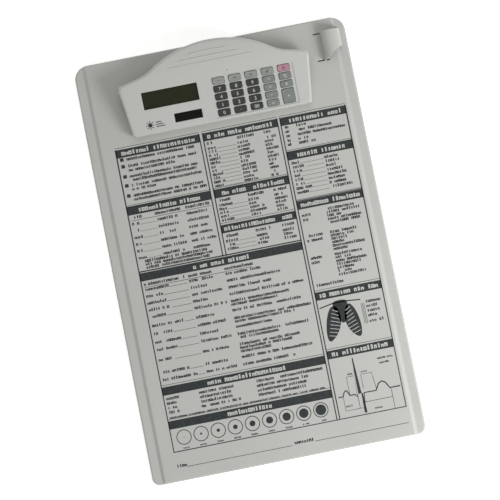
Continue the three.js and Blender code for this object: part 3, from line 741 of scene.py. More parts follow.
loopLow, loopHigh = inMm(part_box("pen_loop"))
penLoop = {
    "radius": (loopHigh.x - loopLow.x) / 2,
    "wall": 1.6,
    "springLine": 8.1,
    "leftFoot": 6.7,
    "rightFoot": 5.1,
    "cut": 12,           # how much shorter its right-hand side is
    "slotWidth": 1.2,
    "slotOverrun": 6,
    "slotReach": 4.8,
    "tab": 0.6,
    "tabFoot": 3.6,
}
penLoop["x"] = (loopHigh.x + loopLow.x) / 2
penLoop["slots"] = [
    (loopLow.x - penLoop["slotOverrun"], loopLow.x + penLoop["slotReach"], y)
    for y in (loopHigh.y - penLoop["slotWidth"] / 2, loopLow.y + penLoop["slotWidth"] / 2)
]


def makePenLoop():
    x = penLoop["x"]
    outer = penLoop["radius"]
    inner = outer - penLoop["wall"]
    spring = penLoop["springLine"]
    section = [(x + outer, penLoop["rightFoot"])]
    section += arc(x, spring, outer, 0, math.pi, 36)
    section += [(x - outer, penLoop["leftFoot"]), (x - inner, penLoop["leftFoot"])]
    section += arc(x, spring, inner, math.pi, 0, 36)
    section += [(x + inner, penLoop["rightFoot"])]
    rings = [[Vector((a, y, z)) for a, z in section] for y in (loopLow.y, loopHigh.y)]
    piece = toObject("pen_holder_loop", loft(rings))

    slope = penLoop["cut"] / (2 * outer)
    left = x - inner
    right = x + outer + 1
    mouth = [
        (left, loopLow.y - 1),
        (right, loopLow.y - 1),
        (right, loopLow.y + slope * (right - left)),
        (left, loopLow.y),
    ]
    combine(piece, toObject("mouth", prism(mouth, -1, 30)), "DIFFERENCE")
    half = penLoop["tab"] / 2
    for slot in penLoop["slots"]:
        y = slot[2]
        tab = [
            (x - outer, y - half), (x - inner, y - half),
            (x - inner, y + half), (x - outer, y + half),
        ]
        combine(piece, toObject("tab", prism(tab, penLoop["tabFoot"], spring)), "UNION")
    soften(piece, 0.35, 3, 50)
    smooth(piece, 50)
    settle(piece, "board", "shell_plastic", shell, "pen_loop")


makePenLoop()
makeBoard()
print("board and pen loop ready")


# Printed chart
# Ink places are measured from the board's left and top edges.

printing = {
    "thickness": 0.05,
    "sunk": 0.02,        # how far each ink body reaches into the board
    "left": 23, "right": 226.5, "top": 78, "bottom": 344.5,
    "rule": 1.2, "fineRule": 0.45, "headerHeight": 7.2,
    "bodyText": 2.55, "smallText": 1.6, "headerText": 3.7,
    # pitch as a share of the text size, the share of letters kept and the random seed
    "bodyPitch": 0.74, "bodyKept": 0.92, "bodySeed": 3,
    "headerPitch": 0.8, "headerKept": 0.9, "headerSeed": 5,
    "headerLift": 0.8,   # middle of the reversed print, as a share of the ink's thickness
    "thinRule": 0.4, "leaderRule": 0.35,
    "seed": 11,
}
columns = {"left": (23, 97), "middle": (100, 166), "right": (168.5, 226.5), "wide": (23, 166)}
dice = random.Random(printing["seed"])
inkFloor = board["top"] - printing["sunk"]


def onBoard(x, y, z=inkFloor):
    return Vector((x - board["halfWidth"], board["halfLength"] - y, z))


def raised(lines, share):
    # lines lifted by a share of the ink's thickness
    lift = Vector((0, 0, printing["thickness"] * share))
    return [[point + lift for point in line] for line in lines]


def strokeTree():
    # rules and drawn lines: a flat ribbon of ink along each path
    tree, given = newTree("inkStroke", {"Float": ["Width", "Thickness"], "Material": ["Ink"]})
    path = addNode(tree, "GeometryNodeMeshToCurve", {"Mesh": given["Geometry"]})
    section = addNode(tree, "GeometryNodeCurvePrimitiveQuadrilateral", {
        "Width": given["Width"], "Height": given["Thickness"],
    })
    ribbon = addNode(tree, "GeometryNodeCurveToMesh", {
        "Curve": path, "Profile Curve": section, "Fill Caps": True,
    })
    return closeTree(tree, ribbon, given["Ink"])


def blockTree():
    # solid bars: a block on every point, sized by the point's own extent
    tree, given = newTree("inkBlock", {"Float": ["Thickness"], "Material": ["Ink"]})
    extent = addNode(tree, "GeometryNodeInputNamedAttribute", {"Name": "extent"},
                     data_type="FLOAT_VECTOR")
    unit = addNode(tree, "GeometryNodeMeshCube", {"Size": (1, 1, 1)})
    flat = addNode(tree, "ShaderNodeSeparateXYZ", {0: extent})
    size = addNode(tree, "ShaderNodeCombineXYZ", {0: flat, 1: flat.outputs[1], 2: given["Thickness"]})
    blocks = addNode(tree, "GeometryNodeInstanceOnPoints", {
        "Points": given["Geometry"], "Instance": unit, "Scale": size,
    })
    return closeTree(tree, blocks, given["Ink"])


def wordTree():
    # unreadable stand-in print: letter-sized marks along each line, with gaps between words
    tree, given = newTree("inkWords", {
        "Float": ["Letter Height", "Pitch", "Kept", "Thickness"],
        "Int": ["Seed"],
        "Object": ["Stem", "Bowl", "Arch"],
        "Material": ["Ink"],
    })
    path = addNode(tree, "GeometryNodeMeshToCurve", {"Mesh": given["Geometry"]})
    spaced = addNode(tree, "GeometryNodeResampleCurve", {
        "Curve": path, "Length": given["Pitch"],
    }, mode="LENGTH")
    marks = []
    for label in ("Arch", "Bowl", "Stem"):
        mark = addNode(tree, "GeometryNodeObjectInfo", {"Object": given[label]})
        marks.append(addNode(tree, "GeometryNodeGeometryToInstance", {0: mark.outputs["Geometry"]}))
    chosen = addNode(tree, "GeometryNodeJoinGeometry", {0: marks})
    which = addNode(tree, "FunctionNodeRandomValue", {
        4: 0, 5: 2, "Seed": given["Seed"],
    }, data_type="INT")
    later = addNode(tree, "ShaderNodeMath", {0: given["Seed"], 1: 7.0}, operation="ADD")
    kept = addNode(tree, "FunctionNodeRandomValue", {
        "Probability": given["Kept"], "Seed": later,
    }, data_type="BOOLEAN")
    wide = addNode(tree, "FunctionNodeRandomValue", {
        2: 0.82, 3: 1.16, "Seed": given["Seed"],
    }, data_type="FLOAT")
    tall = addNode(tree, "FunctionNodeRandomValue", {
        2: 0.78, 3: 1.12, "Seed": later,
    }, data_type="FLOAT")
    shape = addNode(tree, "ShaderNodeCombineXYZ", {0: wide.outputs[1], 1: tall.outputs[1], 2: 1.0})
    flat = addNode(tree, "ShaderNodeCombineXYZ", {
        0: given["Letter Height"], 1: given["Letter Height"],
        2: given["Thickness"],
    })
    size = addNode(tree, "ShaderNodeVectorMath", {0: shape, 1: flat}, operation="MULTIPLY")
    letters = addNode(tree, "GeometryNodeInstanceOnPoints", {
        "Points": spaced, "Selection": kept.outputs[3], "Instance": chosen,
        "Pick Instance": True, "Instance Index": which.outputs[2], "Scale": size,
    })
    return closeTree(tree, letters, given["Ink"])


def gaugeTree():
    # a row of gauge circles: a ring on every point and a dot that grows with the point's order
    tree, given = newTree("inkGauges", {
        "Float": ["Ring Radius", "Ring Width", "First Dot", "Dot Growth", "Thickness"],
        "Material": ["Ink"],
    })
    circle = addNode(tree, "GeometryNodeCurvePrimitiveCircle", {
        "Resolution": 40, "Radius": given["Ring Radius"],
    })
    section = addNode(tree, "GeometryNodeCurvePrimitiveQuadrilateral", {
        "Width": given["Ring Width"], "Height": given["Thickness"],
    })
    ring = addNode(tree, "GeometryNodeCurveToMesh", {"Curve": circle, "Profile Curve": section})
    rings = addNode(tree, "GeometryNodeInstanceOnPoints", {
        "Points": given["Geometry"], "Instance": ring,
    })
    dot = addNode(tree, "GeometryNodeMeshCylinder", {
        "Vertices": 28, "Radius": 1.0, "Depth": given["Thickness"],
    })
    order = addNode(tree, "GeometryNodeInputIndex")
    grown = addNode(tree, "ShaderNodeMath", {
        0: order, 1: given["Dot Growth"], 2: given["First Dot"],
    }, operation="MULTIPLY_ADD")
    size = addNode(tree, "ShaderNodeCombineXYZ", {0: grown, 1: grown, 2: 1.0})
    dots = addNode(tree, "GeometryNodeInstanceOnPoints", {
        "Points": given["Geometry"], "Instance": dot, "Scale": size,
    })
    both = addNode(tree, "GeometryNodeJoinGeometry", {0: [rings, dots]})
    return closeTree(tree, both, given["Ink"])


def letterMarks():
    # three plain marks one unit tall and one thick: a stem, an open bowl and an arch
    parts = {
        "Stem": [(-0.2, 0.2, 0, 1)],
        "Bowl": [
            (-0.4, -0.1, 0, 0.84), (0.1, 0.4, 0, 0.84), (-0.1, 0.1, 0, 0.3), (-0.1, 0.1, 0.54, 0.84),
        ],
        "Arch": [(-0.38, -0.07, 0, 0.84), (0.07, 0.38, 0, 0.84), (-0.07, 0.07, 0.48, 0.84)],
    }
    made = {}
    for label, bars in parts.items():
        shape = bmesh.new()
        for x0, x1, y0, y1 in bars:
            corners = [(x0, y0), (x1, y0), (x1, y1), (x0, y1)]
            prism(corners, -0.5, 0.5, shape)
        shape.transform(Matrix.Scale(1 / mm, 4))
        made[label] = toObject("mark" + label, shape)
    return made


class Chart:
    # collects what is printed, then turns each kind of print into one piece
    def __init__(self):
        self.strokes = {}
        self.bars = []
        self.words = {}
        self.reversed = []

    def line(self, width, *points):
        self.strokes.setdefault(width, []).append([onBoard(*point) for point in points])

    def level(self, width, y, x0, x1):
        self.line(width, (x0, y), (x1, y))

    def bar(self, x0, x1, y0, y1):
        self.bars.append((onBoard((x0 + x1) / 2, (y0 + y1) / 2), (x1 - x0, abs(y1 - y0))))

    def text(self, x0, x1, y, size=printing["bodyText"]):
        self.words.setdefault(size, []).append([onBoard(x0 + 0.4 * size, y), onBoard(x1, y)])

    def lines(self, start, ends):
        for y, end in ends:
            self.text(start, end, y)

    def header(self, column, top, textLeft, textRight):
        x0, x1 = columns[column]
        height = printing["headerHeight"]
        self.bar(x0, x1, top, top + height)
        self.level(printing["thinRule"], top - 1.5, x0, x1)
        baseline = top + height / 2 + printing["headerText"] / 2
        self.reversed.append([onBoard(textLeft, baseline), onBoard(textRight, baseline)])

    def rows(self, top, pitch, count, *fields, leader=False, size=printing["bodyText"]):
        # fields are (start, shortest end, longest end); a leader runs between the first two
        for row in range(count):
            y = top + row * pitch
            ends = []
            for start, short, long in fields:
                ends.append(dice.uniform(short, long))
                self.text(start, ends[-1], y, size)
            if leader:
                self.level(printing["fineRule"] * 0.6, y, ends[0] + 1.5, fields[1][0] - 1)


def layFrame(chart):
    left, right = printing["left"], printing["right"]
    top, bottom = printing["top"], printing["bottom"]
    rule = printing["rule"]
    chart.line(rule, (left, top), (left, bottom), (right, bottom), (right, top))
    for x, foot in ((97, 187), (100, 187), (166, bottom), (168.5, bottom)):
        chart.line(rule * 0.8, (x, top), (x, foot))
    for column, y in (
        ("left", 129), ("wide", 186.5), ("middle", 129), ("right", 109), ("right", 152.5),
    ):
        chart.level(rule * 0.6, y, *columns[column])


def layLeftPanels(chart):
    chart.header("left", 78.4, 29, 91)
    bullets = [(89, 90), (95, 91), (104, 90), (112, 92), (121, 92)]
    for y, end in bullets:
        chart.bar(25.4, 28.6, y - 3, y)
    chart.lines(31, bullets)
    chart.lines(31, [(98.7, 71), (107.4, 89), (115.5, 51), (124.5, 94)])
    chart.header("left", 129.2, 34, 86)
    chart.rows(140, 1, 1, (25, 33, 34), (46, 67, 68), (73, 94, 95))
    chart.level(printing["thinRule"], 141.4, 25, 95)
    chart.rows(145.5, 6, 6, (25, 29, 32), (47, 60, 68), (73, 86, 94), leader=True)
    chart.rows(179, 2.9, 3, (30, 84, 95))


def layMiddlePanels(chart):
    chart.header("middle", 78.4, 105, 160)
    chart.rows(89, 1, 1, (102, 106, 107), (129, 143, 144), (152, 160, 161))
    chart.rows(93.5, 3.35, 11, (102, 106, 111), (128, 133, 141), (152, 155, 163), leader=True)
    chart.header("middle", 129.2, 105, 160)
    chart.rows(140, 1, 1, (103, 112, 114), (128, 143, 144), (151, 160, 162))
    chart.rows(144.2, 3.3, 5, (102, 107, 115), (128, 135, 144), (151, 156, 163), leader=True)
    chart.header("middle", 160.2, 104, 161)
    chart.rows(171.5, 1, 1, (103, 112, 114), (129, 141, 143), (152, 160, 162))
    chart.rows(176, 3.4, 3, (102, 107, 113), (129, 136, 142), (152, 156, 162), leader=True)


def layRightPanels(chart):
    chart.header("right", 78.4, 177, 221)
    for y, end in ((88.5, 189), (92.4, 211), (96.4, 222), (100.4, 189), (104, 195)):
        chart.text(181, end, y)
        chart.text(171, 173.5, y)
    chart.header("right", 109.2, 178, 218)
    chart.rows(120.5, 3.75, 8, (171, 175, 184), (200, 207, 221), leader=True)
    chart.header("right", 153, 173, 222)
    for top, short, long in ((167, 176, 184), (185.5, 179, 185), (205, 178, 185)):
        chart.rows(top, 4, 2, (171, short, long))
    for top, count, short in ((165, 5, 199), (185.5, 6, 203), (205, 7, 199)):
        chart.rows(top, 3, count, (192, short, 222))
    chart.rows(229, 3, 1, (171, 194, 196))
    chart.header("right", 233.4, 173, 222)
    chart.header("right", 285, 174, 220)


def layTables(chart):
    chart.header("wide", 187.5, 71, 118)
    chart.rows(199, 1, 1, (25, 60, 61), (64, 83, 84), (96, 119, 120))
    chart.level(printing["thinRule"], 200.4, 25, 120)
    ends = [
        (203.5, 45, 84, 126), (209.5, 39, 78, 142), (215.5, 41, 90, 133), (221.5, 44, 76, 160),
        (227.5, 38, 92, 148), (235.5, 52, 81, 155), (242.5, 41, 88, 163), (250, 47, 80, 127),
        (256.5, 43, 92, 158), (265.5, 38, 86, 150), (276.5, 49, 83, 157), (283, 55, 90, 141),
    ]
    for y, *row in ends:
        for start, end in zip((25, 64, 96), row):
            chart.text(start, end, y)
        chart.level(printing["leaderRule"], y, row[0] + 1.5, 62.5)
    chart.lines(96, [(230.5, 136), (245.4, 150), (259.6, 131), (268.6, 143), (271.6, 122)])

    chart.header("wide", 288, 61, 130)
    chart.rows(299.5, 4, 4, (25, 31, 38), (54, 80, 93), (104, 142, 163))
    chart.rows(315.8, 3, 1, (25, 160, 162), size=printing["smallText"])
    chart.header("wide", 317.6, 76, 112)
    for start, end, ruleStart, ruleEnd in ((23, 31, 32, 124), (126, 142, 144, 226)):
        chart.text(start, end, 358)
        chart.level(printing["fineRule"], 358.5, ruleStart, ruleEnd)


gauges = {
    "first": (34, 333.2), "pitch": 15, "count": 9,
    "ringRadius": 6.2, "ringWidth": 0.7, "firstDot": 0.4, "dotGrowth": 0.53,
}


def layGaugeLabels(chart):
    x, y = gauges["first"]
    for index in range(gauges["count"]):
        middle = x + index * gauges["pitch"]
        chart.text(middle - 2.6, middle + 2.4, y + 10, printing["smallText"])


def makeGauges():
    x, y = gauges["first"]
    middle = inkFloor + printing["thickness"] / 2
    points = [
        onBoard(x + index * gauges["pitch"], y, middle) * mm for index in range(gauges["count"])
    ]
    sizes = metres({
        "Ring Radius": gauges["ringRadius"], "Ring Width": gauges["ringWidth"],
        "First Dot": gauges["firstDot"], "Dot Growth": gauges["dotGrowth"],
        "Thickness": printing["thickness"],
    })
    piece = grow("chart_gauge_circles", gaugeTree(), plainMesh(points), {**sizes, "Ink": ink})
    settle(piece, "board", "chart_ink", ink)


def inkPatch(outline, shape):
    # a filled area of ink inside an outline given from the board's corner
    points = [tuple(onBoard(x, y).xy) for x, y in outline]
    prism(points, inkFloor, inkFloor + printing["thickness"], shape)


chest = {
    "left": [
        (180, 247), (175, 255), (171.8, 268), (172.4, 278.5), (178, 276), (184.6, 268),
        (187, 258), (185.5, 249),
    ],
    "right": [
        (196, 246.5), (191.4, 251), (189.6, 260), (190.6, 267), (195, 275), (201.4, 279),
        (203.2, 268), (201, 255),
    ],
    "middle": [
        (181, 245), (185, 243.5), (191, 243.5), (195, 245), (193.6, 254), (190.6, 263.5),
        (186, 263.5), (183, 254),
    ],
    "ribTop": 252, "ribPitch": 3.1, "ribCount": 8, "ribWidth": 0.55, "ribLean": 1.4,
    "ribLift": 0.75,     # of the ink's thickness
    "leftRib": (180.2, 185), "rightRib": (191.6, 196.2), "ribSpread": (0.9, 0.75),
    "collar": [(170, 247.6), (182, 245.4), (194, 245.4), (206, 246.6)], "collarWidth": 1.0,
    "brackets": (206, 207.2, 208.4), "bracketSpan": (250, 268),
    "notes": [(250.4, 222), (254.4, 219), (258.4, 220), (262.4, 217), (267.4, 222)],
    "notesStart": 210,
}
trace = {
    "wave": [
        (171, 326), (175, 326), (176.5, 322.6), (178, 321.2), (179.6, 322.6), (181, 326),
        (185.5, 326), (187, 328.5), (189.2, 294), (192, 342), (193.4, 326), (204, 326),
        (207, 320.6), (210, 319), (213, 320.6), (216, 326), (225, 326),
    ],
    "spikes": [
        [(188.4, 326), (188.6, 295), (189.6, 295), (191.2, 326)],
        [(191, 326), (192.4, 326), (193, 343), (190.6, 343)],
    ],
    "brackets": [
        [(181, 326), (181, 310), (187, 310)], [(193.6, 322), (193.6, 310), (203, 310), (204.5, 324)],
        [(192, 334), (217, 334)], [(175, 326), (175, 338.5), (190, 338.5)],
        [(217, 327), (217, 344)], [(187.6, 326), (187.6, 338)],
    ],
    "labels": [
        (176, 181, 335.6), (200, 206, 341.5), (181, 186, 308.6), (194, 199, 308.6),
        (210, 223, 300), (210, 219, 304),
    ],
    "width": 1.1, "fine": 0.45,
}


def smoothLoop(points, steps=4):
    # a closed curve through the middles of the sides of a polygon
    made = []
    count = len(points)
    for i in range(count):
        before = points[i - 1]
        here = points[i]
        after = points[(i + 1) % count]
        start = tuple((a + b) / 2 for a, b in zip(before, here))
        end = tuple((a + b) / 2 for a, b in zip(here, after))
        made.extend(curveTo(start, here, end, steps)[:-1])
    return made


def makeChestFigure(chart):
    shape = bmesh.new()
    for side in ("left", "right", "middle"):
        inkPatch(smoothLoop(chest[side]), shape)
    settle(toObject("chart_chest_figure", shape), "board", "chart_ink", ink)
    ribs = []
    lean = chest["ribLean"]
    farLeft, nearLeft = chest["leftRib"]
    nearRight, farRight = chest["rightRib"]
    leftSpread, rightSpread = chest["ribSpread"]
    for rib in range(chest["ribCount"]):
        y = chest["ribTop"] + rib * chest["ribPitch"]
        ribs.append([onBoard(farLeft - rib * leftSpread, y - lean), onBoard(nearLeft, y + lean)])
        ribs.append([onBoard(nearRight, y + lean), onBoard(farRight + rib * rightSpread, y - lean)])
    lifted = raised(ribs, chest["ribLift"])
    piece = grow("chart_chest_ribs", inkStroke, pathMesh(lifted), {
        "Width": chest["ribWidth"] * mm, "Thickness": printing["thickness"] * mm, "Ink": shell,
    })
    settle(piece, "board", "shell_plastic", shell)
    chart.line(chest["collarWidth"], *chest["collar"])
    top, bottom = chest["bracketSpan"]
    for x in chest["brackets"]:
        chart.line(printing["thinRule"], (x, top), (x, bottom))
    chart.lines(chest["notesStart"], chest["notes"])


def makeTrace(chart):
    chart.line(trace["width"], *trace["wave"])
    for points in trace["brackets"]:
        chart.line(trace["fine"], *points)
    for label in trace["labels"]:
        chart.text(*label, printing["smallText"])
    shape = bmesh.new()
    for spike in trace["spikes"]:
        inkPatch(spike, shape)
    settle(toObject("chart_pulse_spike", shape), "board", "chart_ink", ink)


def printChart(chart):
    thickness = printing["thickness"] * mm
    for index, (width, lines) in enumerate(sorted(chart.strokes.items())):
        piece = grow(f"chart_rules_{index + 1}", inkStroke, pathMesh(raised(lines, 0.5)), {
            "Width": width * mm, "Thickness": thickness, "Ink": ink,
        })
        settle(piece, "board", "chart_ink", ink)

    middles = raised([[place for place, size in chart.bars]], 0.5)[0]
    mesh = plainMesh([point * mm for point in middles])
    extent = mesh.attributes.new("extent", "FLOAT_VECTOR", "POINT")
    for item, (place, size) in zip(extent.data, chart.bars):
        item.vector = (size[0] * mm, size[1] * mm, 0)
    piece = grow("chart_header_bars", blockTree(), mesh, {"Thickness": thickness, "Ink": ink})
    settle(piece, "board", "chart_ink", ink)

    marks = letterMarks()
    words = wordTree()
    prints = [
        (f"chart_print_{round(size * 100)}", size, raised(lines, 0.5), "body", ink, "chart_ink")
        for size, lines in sorted(chart.words.items())
    ]
    reversedLines = raised(chart.reversed, printing["headerLift"])
    prints.append((
        "chart_reversed_print", printing["headerText"], reversedLines, "header", shell,
        "shell_plastic",
    ))
    for name, size, lines, kind, paint, slotName in prints:
        piece = grow(name, words, pathMesh(lines), {
            "Letter Height": size * mm, "Pitch": printing[kind + "Pitch"] * size * mm,
            "Kept": printing[kind + "Kept"], "Seed": printing[kind + "Seed"],
            "Thickness": thickness, "Ink": paint, **marks,
        })
        settle(piece, "board", slotName, paint)
    for mark in marks.values():
        dropObject(mark)


inkStroke = strokeTree()
chart = Chart()
for lay in (
    layFrame, layLeftPanels, layMiddlePanels, layRightPanels, layTables, layGaugeLabels,
    makeChestFigure, makeTrace,
):
    lay(chart)
makeGauges()
printChart(chart)
print("chart printed")


# Calculator housing
# Drawn in the clip's own axes: origin on the hinge pin, y along the face towards the
# lever, z square to the face.

lens = clipBox("lcd_lens")
solar = clipBox("solar_window")
gap = 0.3
housing = {
    "front": -27.5,
    "shoulder": 18.0,
    "tip": 43.7,
    "faceTop": 10.3,
    "faceInside": 8.3,
    "rimBottom": 5.1,
    "sideWall": 1.8,
    "halfWidth": 81.91,      # at the hinge
    "taper": 0.093,          # growth in half width per millimetre towards the rear
    "cornerRound": 4,
    "leverRadius": 94.6,
    "leverDroop": 3.2,
    "kneeHalfWidth": 58,
    "kneeBlend": 7,
    "edgeRound": 2.3,
    "recessDepth": 0.6,
    "recessMargin": (3.2, 1.3),
    "recessCorner": 1.6,
    "openingCorner": 1.3,
    "windowSlope": 1.1,
    "bossRadius": 2.6,
    "bossFoot": 3.6,
    "ridges": {
        "count": 3, "first": 25.6, "pitch": 4.7, "width": 1.7, "height": 0.6, "length": 82,
        "shortening": 23, "bow": 0.4, "aside": -1.5,
    },
}


def halfWidthAt(y):
    return housing["halfWidth"] + y * housing["taper"]


def droop(y):
    along = max(0, y - housing["shoulder"]) / (housing["tip"] - housing["shoulder"])
    return -housing["leverDroop"] * along * along


def halfOutline(inset):
    # right half of the plan, from the front middle round to the lever's tip
    front = housing["front"] + inset
    rear = housing["shoulder"] - inset
    radius = housing["leverRadius"] - inset
    centre = housing["tip"] - housing["leverRadius"]
    frontHalf = halfWidthAt(front) - inset
    rearHalf = halfWidthAt(rear) - inset
    turn = housing["cornerRound"] - inset / 2
    knee = housing["kneeHalfWidth"] - inset
    blend = housing["kneeBlend"]
    kneeY = centre + math.sqrt(radius * radius - knee * knee)
    crown = knee - blend
    slope = (kneeY - rear) / (rearHalf - knee)
    points = curveTo((frontHalf - turn, front), (frontHalf, front), (frontHalf, front + turn), 8)
    points += curveTo(
        (rearHalf, rear - turn), (rearHalf, rear), (rearHalf - turn, rear + slope * turn), 8
    )
    points += curveTo(
        (knee + blend, kneeY - slope * blend), (knee, kneeY),
        (crown, centre + math.sqrt(radius * radius - crown * crown)), 8,
    )
    start = math.acos(crown / radius)
    points += arc(0, centre, radius, start, math.pi / 2, 16)[1:]
    return points


def leverOutline(inset):
    right = halfOutline(inset)
    left = [(-x, y) for x, y in reversed(right[:-1])]
    return right + left


def windowCutter(low, high, shape):
    # a square-cut opening whose rim slopes up to the face
    top = housing["faceTop"]
    slope = housing["windowSlope"]
    floor = high.z + 0.1
    x0, x1, y0, y1 = low.x - gap, high.x + gap, low.y - gap, high.y + gap
    rings = []
    for out, z in ((0, housing["faceInside"] - 1), (0, floor), (2 * slope, 2 * top - floor)):
        outline = roundedRect(x0 - out, x1 + out, y0 - out, y1 + out, 0.4 + out * 0.8, 4)
        rings.append(flatRing(outline, z))
    loft(rings, shape)


def makeTopHousing():
    top = housing["faceTop"]
    wall = housing["sideWall"]
    rim = housing["rimBottom"]
    rings = [
        flatRing(leverOutline(wall + 1), housing["faceInside"]),
        flatRing(leverOutline(wall), housing["faceInside"] - 1),
        flatRing(leverOutline(wall), rim),
        flatRing(leverOutline(0.25), rim),
        flatRing(leverOutline(0), rim + 0.25),
    ]
    for inset, drop in roundEdge(housing["edgeRound"], 8):
        rings.append(flatRing(leverOutline(inset), top - drop))
    shape = loft(rings)
    shoulder, tip = housing["shoulder"], housing["tip"]
    scoreAcross(shape, "y", [shoulder + (tip - shoulder) * i / 16 for i in range(16)])
    for vertex in shape.verts:
        vertex.co.z += droop(vertex.co.y)
    piece = toObject("calculator_top", shape, clipPlace)

    inner = bmesh.new()
    half = halfWidthAt(shoulder) - wall / 2
    back = shoulder - 0.05
    corners = [(-half, back - wall), (half, back - wall), (half, back), (-half, back)]
    prism(corners, rim + 0.6, top - 1, inner)
    for index in range(1, 5):
        low, high = clipBox(f"case_screw_{index}")
        middle = (low + high) / 2
        boss = disc(middle.x, middle.y, housing["bossRadius"], 1.93, 28)
        prism(boss, housing["bossFoot"], top - 1, inner)
    combine(piece, toObject("inner", inner, clipPlace), "UNION")

    keyLow, keyHigh = keypadBox()
    marginX, marginY = housing["recessMargin"]
    pad = roundedRect(
        keyLow.x - marginX, keyHigh.x + marginX, keyLow.y - marginY, keyHigh.y + marginY,
        housing["recessCorner"],
    )
    recess = prism(pad, top - housing["recessDepth"], top + 2)
    combine(piece, toObject("recess", recess, clipPlace), "DIFFERENCE")
    openings = bmesh.new()
    for name in keyNodes:
        low, high = capBox(name)
        outline = roundedRect(
            low.x - gap, high.x + gap, low.y - gap, high.y + gap, housing["openingCorner"], 4
        )
        prism(outline, housing["faceInside"] - 1, top + 2, openings)
    windowCutter(*lens, openings)
    windowCutter(*solar, openings)
    combine(piece, toObject("openings", openings, clipPlace), "DIFFERENCE")
    soften(piece, 0.22, 2, 38)
    smooth(piece, 42)
    settle(piece, "clip", "shell_plastic", housingShell, "top_housing")


def ridgeTree():
    # grip ridges: a rounded bar along each path, faded out at both ends
    tree, given = newTree("gripRidges", {"Float": ["Width", "Height"], "Material": ["Plastic"]})
    path = addNode(tree, "GeometryNodeMeshToCurve", {"Mesh": given["Geometry"]})
    fine = addNode(tree, "GeometryNodeResampleCurve", {"Curve": path, "Count": 48})
    along = addNode(tree, "GeometryNodeSplineParameter")
    back = addNode(tree, "ShaderNodeMath", {0: 1.0, 1: along}, operation="SUBTRACT")
    edge = addNode(tree, "ShaderNodeMath", {0: along, 1: back}, operation="MINIMUM")
    fade = addNode(tree, "ShaderNodeMapRange", {
        "Value": edge, "From Max": 0.09, "To Min": 0.02,
    }, interpolation_type="SMOOTHSTEP")
    circle = addNode(tree, "GeometryNodeCurvePrimitiveCircle", {"Resolution": 16, "Radius": 0.5})
    double = addNode(tree, "ShaderNodeMath", {0: given["Height"], 1: 2.0}, operation="MULTIPLY")
    size = addNode(tree, "ShaderNodeCombineXYZ", {0: given["Width"], 1: double, 2: 1.0})
    oval = addNode(tree, "GeometryNodeTransform", {"Geometry": circle, "Scale": size})
    bars = addNode(tree, "GeometryNodeCurveToMesh", {
        "Curve": fine, "Profile Curve": oval, "Scale": fade,
        "Fill Caps": True,
    })
    soft = addNode(tree, "GeometryNodeSetShadeSmooth", {"Geometry": bars})
    return closeTree(tree, soft, given["Plastic"])


def makeRidges():
    ridges = housing["ridges"]
    lines = []
    for index in range(ridges["count"]):
        half = (ridges["length"] - index * ridges["shortening"]) / 2
        line = []
        for step in range(17):
            along = step / 8 - 1
            y = ridges["first"] + index * (ridges["pitch"] - ridges["bow"] * along * along)
            z = housing["faceTop"] + droop(y) - 0.05
            line.append(clipPlace @ Vector((ridges["aside"] + half * along, y, z)))
        lines.append(line)
    piece = grow("lever_grip_ridges", ridgeTree(), pathMesh(lines), {
        "Width": ridges["width"] * mm, "Height": ridges["height"] * mm, "Plastic": housingShell,
    })
    settle(piece, "clip", "shell_plastic", housingShell)


# Keys

keyNodes = [name for name in frame["nodes"] if name.startswith("key_") and name != "key_mat"]
keys = {
    "flangeOverhang": 0.5, "flangeThickness": 0.5, "corner": 1.5, "round": 0.55, "dish": 0.15,
    "legendSize": 4.3, "legendRise": 0.1,
    "lightRow": 7,       # depth of the light row at the rear
    "darkWidth": 30,     # width of the dark block at the left
    "dishSteps": ((0.4, 0.2), (0.35, 0.45), (0.35, 0.35)),   # inset and fall of each ring
}
legends = {
    "key_0": "0", "key_point": ".", "key_double_zero": "00", "key_equals": "=",
    "key_1": "1", "key_2": "2", "key_3": "3", "key_minus": "−", "key_plus": "+",
    "key_4": "4", "key_5": "5", "key_6": "6", "key_times": "×", "key_sign": "±",
    "key_7": "7", "key_8": "8", "key_9": "9", "key_divide": "÷", "key_percent": "%",
    "key_memory_minus": "−", "key_memory_recall": "=", "key_memory_plus": "+",
    "key_square_root": "√", "key_clear": "0",
}


def capBox(name):
    # the cap of a key, without the flange that holds it under the face
    low, high = clipBox(name)
    over = Vector((keys["flangeOverhang"], keys["flangeOverhang"], 0))
    return low + over, high - over


def keypadBox():
    boxes = [capBox(name) for name in keyNodes]
    low = Vector((min(b[0].x for b in boxes), min(b[0].y for b in boxes)))
    high = Vector((max(b[1].x for b in boxes), max(b[1].y for b in boxes)))
    return low, high


